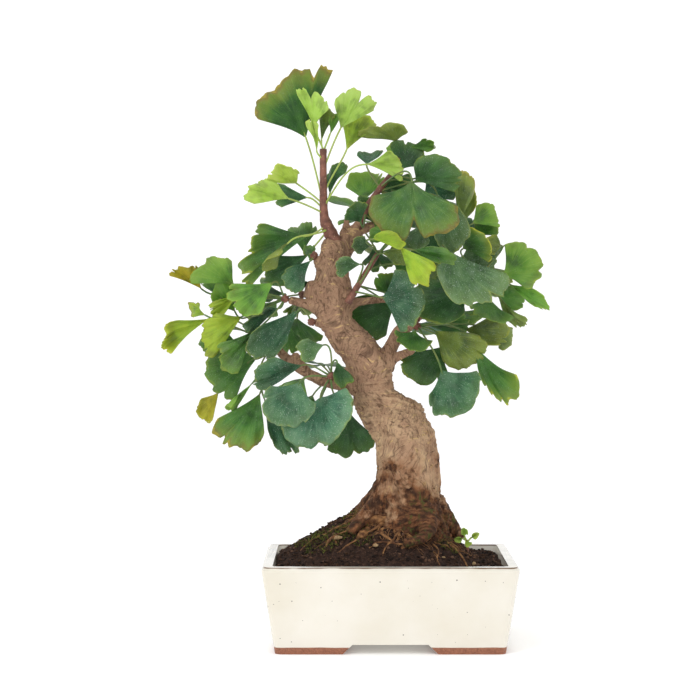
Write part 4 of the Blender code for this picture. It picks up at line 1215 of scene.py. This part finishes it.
leftShoot = {
    "limbEnd": ((-76, -5, 286), (-84, -6, 288)),
    "leaves": [
        leaf("fresh", (-97, 303), (-134, 300), (-128, 283), (-111, 274), -20, 14, 4, cup=5),
        leaf("fresh", (-131, 301), (-169, 304), (-153, 319), (-135, 323), -8, 8, 6),
        leaf("gold", (-158, 297), (-188, 312), (-176, 313), (-164, 319), 4, 18, 10, rim=1.0,
             scorch=0.3),
        leaf("deep", (-143, 291), (-158, 300), (-150, 304), (-142, 302), 12, -12, 0,
             via=(-118, 14, 292)),
        leaf("lime", (-129, 291), (-147, 287), (-150, 280), (-142, 274), -3, 14, 0),
        leaf("mid", (-110, 264), (-141, 250), (-140, 237), (-132, 223), -22, 12, 10,
             via=(-96, -14, 276)),
        leaf("teal", (-92, 281), (-108, 281), (-119, 268), (-120, 258), -8, 10, 10),
        leaf("dark", (-88, 293), (-100, 300), (-106, 294), (-102, 286), 8, -14, 0),
        # leaves deep in the crown and behind the trunk, which the solids leave out
        leaf("fresh", (-130, 278), (-147, 284), (-141, 304), (-131, 301), 4, 6, 0,
             via=(-118, 6, 276)),
    ],
}
makeShoot(2, "leftShoot", leftShoot)

leftLowSpurShoot = {
    "limbEnd": ((-57, -4, 268), (-62, -6, 269)),
    "leaves": [
        leaf("teal", (-76, 280), (-116, 262), (-113, 241), (-90, 248), -14, 14, 8,
             via=(-68, -12, 276), cup=6),
    ],
}
makeShoot(3, "leftLowSpurShoot", leftLowSpurShoot)

lowLeftShoot = {
    "limbEnd": ((-87, -4, 239), (-93, -4, 246)),
    "leaves": [
        leaf("lime", (-124, 274), (-149, 276), (-155, 257), (-149, 240), -12, 10, 0,
             via=(-110, -4, 262)),
        leaf("mid", (-138, 262), (-155, 263), (-158, 252), (-150, 240), 12, -8, 0),
        leaf("lime", (-152, 272), (-188, 269), (-192, 256), (-191, 242), -6, 12, 4,
             via=(-124, 2, 268), cup=5, rim=0.8),
        leaf("lime", (-155, 275), (-161, 286), (-168, 282), (-164, 273), 10, -16, 0,
             via=(-128, 10, 266), rim=0.8, scorch=0.6),
        leaf("mid", (-112, 238), (-143, 262), (-152, 232), (-134, 205), 5, 10, 4,
             via=(-104, 8, 246), cup=5),
        leaf("fresh", (-115, 218), (-137, 199), (-134, 196), (-129, 195), -14, 4, 12,
             via=(-110, -8, 240)),
        leaf("mid", (-109, 209), (-148, 183), (-132, 164), (-107, 171), -8, 14, 8,
             via=(-107, -6, 238), cup=5, rim=0.7, scorch=0.4),
        leaf("teal", (-106, 206), (-101, 172), (-88, 160), (-77, 164), 6, 8, 0,
             via=(-104, 6, 232)),
        leaf("gold", (-144, 210), (-160, 203), (-157, 188), (-149, 186), 16, -8, 0,
             via=(-120, 18, 236)),
    ],
}
makeShoot(4, "lowLeftShoot", lowLeftShoot)

innerLeftShoot = {
    "limbEnd": ((-44, -10, 221), (-47, -15, 223)),
    "leaves": [
        leaf("blue", (-75, 219), (-105, 211), (-93, 184), (-65, 196), -34, 12, 8, cup=5),
        leaf("blue", (-58, 206), (-89, 178), (-62, 165), (-31, 209), -26, 14, -8, cup=6,
             cleft=0.15),
        leaf("dark", (-44, 236), (-47, 222), (-38, 217), (-30, 222), -27, 10, 0,
             via=(-50, -18, 236)),
        leaf("grey", (-55, 250), (-72, 255), (-76, 244), (-67, 235), -16, 12, 0,
             via=(-48, -18, 236)),
        leaf("teal", (-73, 233), (-100, 240), (-112, 224), (-108, 213), -22, 12, 6,
             via=(-62, -22, 232)),
        leaf("dark", (-34, 194), (-56, 172), (-34, 157), (-11, 169), 18, -4, 0,
             via=(-49, -30, 196), cleft=0.15, cleftAt=0.15),
    ],
}
makeShoot(5, "innerLeftShoot", innerLeftShoot)

crownShoot = {
    "stem": [(-23, 10, 356, 3.2), (-19, 9, 366, 3), (-6, 7, 384, 2.6), (4, 6, 397, 2.4),
             (8, 6, 408, 2)],
    "leaves": [
        leaf("olive", (6, 421), (-26, 425), (-6, 434), (15, 430), 4, 16, 0, (7.2, 6.1, 405.2),
             cup=2),
        leaf("mid", (17, 416), (31, 424), (37, 419), (35, 413), 6, 14, 0, (6.6, 6, 402.6)),
        leaf("fresh", (4, 408), (-1, 412), (1, 420), (6, 419), 24, -6, 0, (4, 8, 398)),
        leaf("dark", (11, 398), (0, 418), (20, 419), (31, 403), 6, -8, 0, (4, 7, 396)),
        leaf("scar", (19, 388), (-18, 368), (22, 340), (60, 362), -44, 12, 0, (-6, 6, 384),
             via=(6, -32, 394), cup=5, cleft=0.42, rim=0.5, scorch=0.5),
        leaf("dark", (22, 388), (22, 404), (50, 403), (59, 380), -18, 10, 0, (-4, 6, 386),
             via=(8, -10, 394)),
        leaf("grey", (40, 378), (61, 362), (56, 331), (36, 342), -12, 4, -8, (-8, 8, 380),
             via=(20, -4, 388)),
        leaf("teal", (-19, 402), (-27, 408), (-17, 413), (-5, 410), 18, -14, 0, (-8, 9, 382)),
        leaf("olive", (59, 353), (54, 386), (63, 395), (71, 378), 3, -6, 0, (-8, 9, 380),
             via=(30, 6, 372), rim=0.8, scorch=0.3),
        leaf("dark", (24, 392), (22, 405), (32, 407), (42, 401), -6, 8, 0, (2, 7, 394)),
        leaf("fresh", (70, 352), (75, 369), (89, 364), (92, 350), 10, -6, 0, (-10, 10, 376),
             via=(40, -10, 372)),
        leaf("dark", (-24, 353), (-38, 357), (-30, 368), (-19, 370), -12, 4, 0, (-20, 9, 361),
             via=(-22, -10, 346)),
        # leaves deep in the crown and behind the trunk, which the solids leave out
        leaf("olive", (60, 349), (55, 378), (64, 385), (72, 366), 14, -6, 0, (-8, 9, 380),
             via=(26, 14, 366), rim=0.8),
        leaf("dark", (-8, 350), (-30, 362), (-22, 374), (-4, 368), 16, 6, 0, (-20, 9, 360)),
        leaf("deep", (4, 342), (-14, 348), (-4, 364), (17, 356), 18, 6, 0, (-12, 10, 372)),
        leaf("dark", (30, 354), (10, 336), (34, 320), (52, 338), 14, 6, 0, (-6, 9, 364)),
        leaf("teal", (46, 368), (34, 350), (52, 338), (64, 356), 8, 6, 0, (2, 8, 380)),
        leaf("dark", (-6, 380), (4, 397), (18, 388), (14, 370), 16, 6, 0, (-12, 10, 376)),
        leaf("teal", (28, 372), (33, 391), (50, 390), (56, 374), 16, 6, 0, (2, 8, 380)),
    ],
}
makeShoot(6, "crownShoot", crownShoot)

midShoot = {
    "stem": [(-30.5, -17.5, 293, 3), (-24, -17, 304, 2.4), (-9, -15, 328, 2.2)],
    "leaves": [
        leaf("teal", (-6, 290), (11, 313), (27, 284), (14, 260), -38, 10, -8, (-29, -18, 295),
             via=(-18, -32, 293), cup=5),
        leaf("olive", (-6, 327), (4, 333), (16, 324), (7, 317), -30, 18, 0, (-26, -17, 300),
             via=(-14, -34, 318), cup=1),
        leaf("mid", (20, 330), (36, 333), (55, 322), (40, 319), -52, 8, 0, (-9, -15, 327)),
        leaf("lime", (9, 333), (39, 318), (32, 307), (21, 300), -56, 12, 0, (-9, -16, 327),
             via=(2, -40, 336), rim=0.6),
        leaf("grey", (-14, 334), (-24, 342), (-30, 334), (-26, 327), -26, 12, 0, (-10, -16, 326)),
        leaf("grey", (-24, 318), (-38, 325), (-44, 316), (-42, 307), -30, 12, 0, (-28, -17, 298)),
        leaf("mid", (2, 344), (-10, 350), (-16, 341), (-10, 336), -16, 10, 0, (-9, -14, 327)),
        leaf("grey", (27, 352), (34, 336), (22, 332), (11, 341), -22, 8, 0, (-9, -14.5, 326),
             via=(10, -18, 352)),
        leaf("mid", (4, 318), (10, 325), (17, 316), (8, 310), -12, 6, 0, (-18, -16, 313)),
        # leaves deep in the crown and behind the trunk, which the solids leave out
        leaf("dark", (6, 286), (-22, 292), (-34, 270), (-6, 256), 26, 6, 0, (-26, 10, 300)),
        leaf("deep", (2, 288), (-12, 300), (-5, 310), (7, 304), 22, 6, 0, (-26, 10, 300)),
        leaf("lime", (-14, 339), (-11, 343), (8, 340), (11, 331), -54, 4, 0, (-9, -15, 327),
             via=(-16, -32, 334)),
    ],
}
makeShoot(7, "midShoot", midShoot)

peachShoot = {
    "limbEnd": ((50, 14, 300), (72, 12, 305)),
    "leaves": [
        leaf("fresh", (96, 309), (101, 337), (127, 319), (118, 298), 0, 8, -8, cleft=0.16,
             cleftAt=0.2),
        leaf("fresh", (102, 301), (125, 297), (136, 279), (122, 282), 6, 10, 0, via=(90, 10, 306)),
        leaf("mid", (90, 292), (100, 300), (112, 288), (103, 279), 18, -6, 0),
        leaf("mid", (84, 290), (68, 282), (84, 272), (103, 271), -12, 16, 0),
        leaf("olive", (91, 294), (116, 271), (112, 266), (106, 265), -2, 2, 10),
        leaf("dark", (69, 293), (41, 309), (24, 285), (58, 273), -16, 14, 6, via=(76, -4, 302),
             cup=5),
        leaf("mid", (62, 331), (61, 350), (80, 341), (86, 321), -2, 10, 0, via=(72, 10, 318),
             rim=0.9),
        leaf("olive", (94, 334), (88, 343), (82, 336), (86, 326), 12, 12, 0, via=(82, 14, 316),
             rim=0.7),
        leaf("grey", (48, 331), (101, 306), (82, 290), (40, 309), -38, 12, -8, via=(54, -8, 314),
             cup=6, cleft=0.16, cleftAt=-0.2),
        # leaves deep in the crown and behind the trunk, which the solids leave out
        leaf("mid", (73, 341), (72, 352), (82, 358), (92, 345), 26, 6, 0, (62, 32, 314), rim=0.5),
        leaf("grey", (60, 322), (70, 338), (87, 331), (88, 314), 22, 6, 0, (62, 32, 314)),
    ],
}
makeShoot(8, "peachShoot", peachShoot)

lowRightShoot = {
    "limbEnd": ((12, -6, 266), (20, -8, 266)),
    "leaves": [
        leaf("mid", (22, 262), (4, 260), (16, 246), (35, 250), -18, 16, 0),
        leaf("dark", (46, 249), (9, 241), (20, 223), (47, 222), 4, 10, 6, via=(36, 2, 260)),
        leaf("olive", (38, 262), (76, 258), (77, 240), (48, 234), -12, 12, 0),
        leaf("mid", (72, 250), (108, 216), (97, 203), (78, 219), -18, 12, -6, via=(50, -12, 274),
             cup=5, cleft=0.14, cleftAt=0.1, rim=0.7),
        leaf("teal", (44, 229), (77, 223), (54, 190), (34, 201), -32, 12, 0, via=(34, -30, 250),
             cup=5),
        leaf("olive", (64, 263), (91, 275), (98, 260), (84, 249), -4, 14, 0, via=(42, -2, 272)),
        leaf("deep", (34, 266), (46, 274), (68, 271), (56, 258), 10, -12, 0),
        leaf("olive", (88, 262), (101, 266), (104, 254), (94, 246), 8, -8, 0, via=(52, 8, 268)),
    ],
}
makeShoot(9, "lowRightShoot", lowRightShoot)

print("photographed shoots ready")

backShoots = [  # name, start and end of the limb, then seed, leaves, stalk and blade length
    ("backTopShoot", (-46, 4, 306), ((-36, 22, 326), (-24, 36, 346)), (3, 7, 26, 31)),
    ("backMiddleShoot", (-47, 6, 285), ((-58, 24, 290), (-72, 40, 292)), (5, 7, 26, 32)),
    ("backRightShoot", (-8, 8, 232), ((6, 26, 252), (24, 44, 270)), (7, 7, 30, 33)),
    ("backLowLeftShoot", (-18, 6, 226), ((-32, 24, 226), (-46, 42, 222)), (11, 7, 24, 30)),
    ("backCrownShoot", (-32, 9, 344), ((-6, 24, 354), (16, 36, 366)), (19, 6, 20, 30)),
    ("backFarRightShoot", (46, 15, 299), ((58, 27, 308), (66, 38, 318)), (17, 6, 20, 28)),
]

for number, (name, start, limbEnd, rule) in enumerate(backShoots):
    makeShoot(20 + number, name, {"limbEnd": limbEnd,
                                  "leaves": backLeaves(*limbEnd, start, *rule)})
print("far side shoots ready")

weed = {
    "node": "weed_seedling",
    "root": (66, -8),
    "height": 86,
    "leafShare": 0.72,
    "young": True,
    "leaves": [
        leaf("young", (64, 88), (60, 92), (63, 97), (68, 93), -8, 6),
        leaf("young", (62, 86), (57, 88), (54, 85), (58, 81), -8, 6),
        leaf("young", (70, 87), (72, 92), (77, 91), (76, 86), -6, 6),
        leaf("young", (67, 84), (63, 82), (66, 77.5), (71, 80), -16, 6),
    ],
}

for form in weed["leaves"]:
    for key in ("left", "middle", "right"):
        form[key] = form["base"] + (form[key] - form["base"]) * weed["leafShare"]
weed["bud"] = (*weed["root"], weed["height"] - 2)
weed["stem"] = [(*weed["root"], 58, 1.1), (*weed["root"], 74, 1),
                (*weed["root"], weed["height"], 1)]
makeShoot(40, "weed", weed)
print("weed ready")
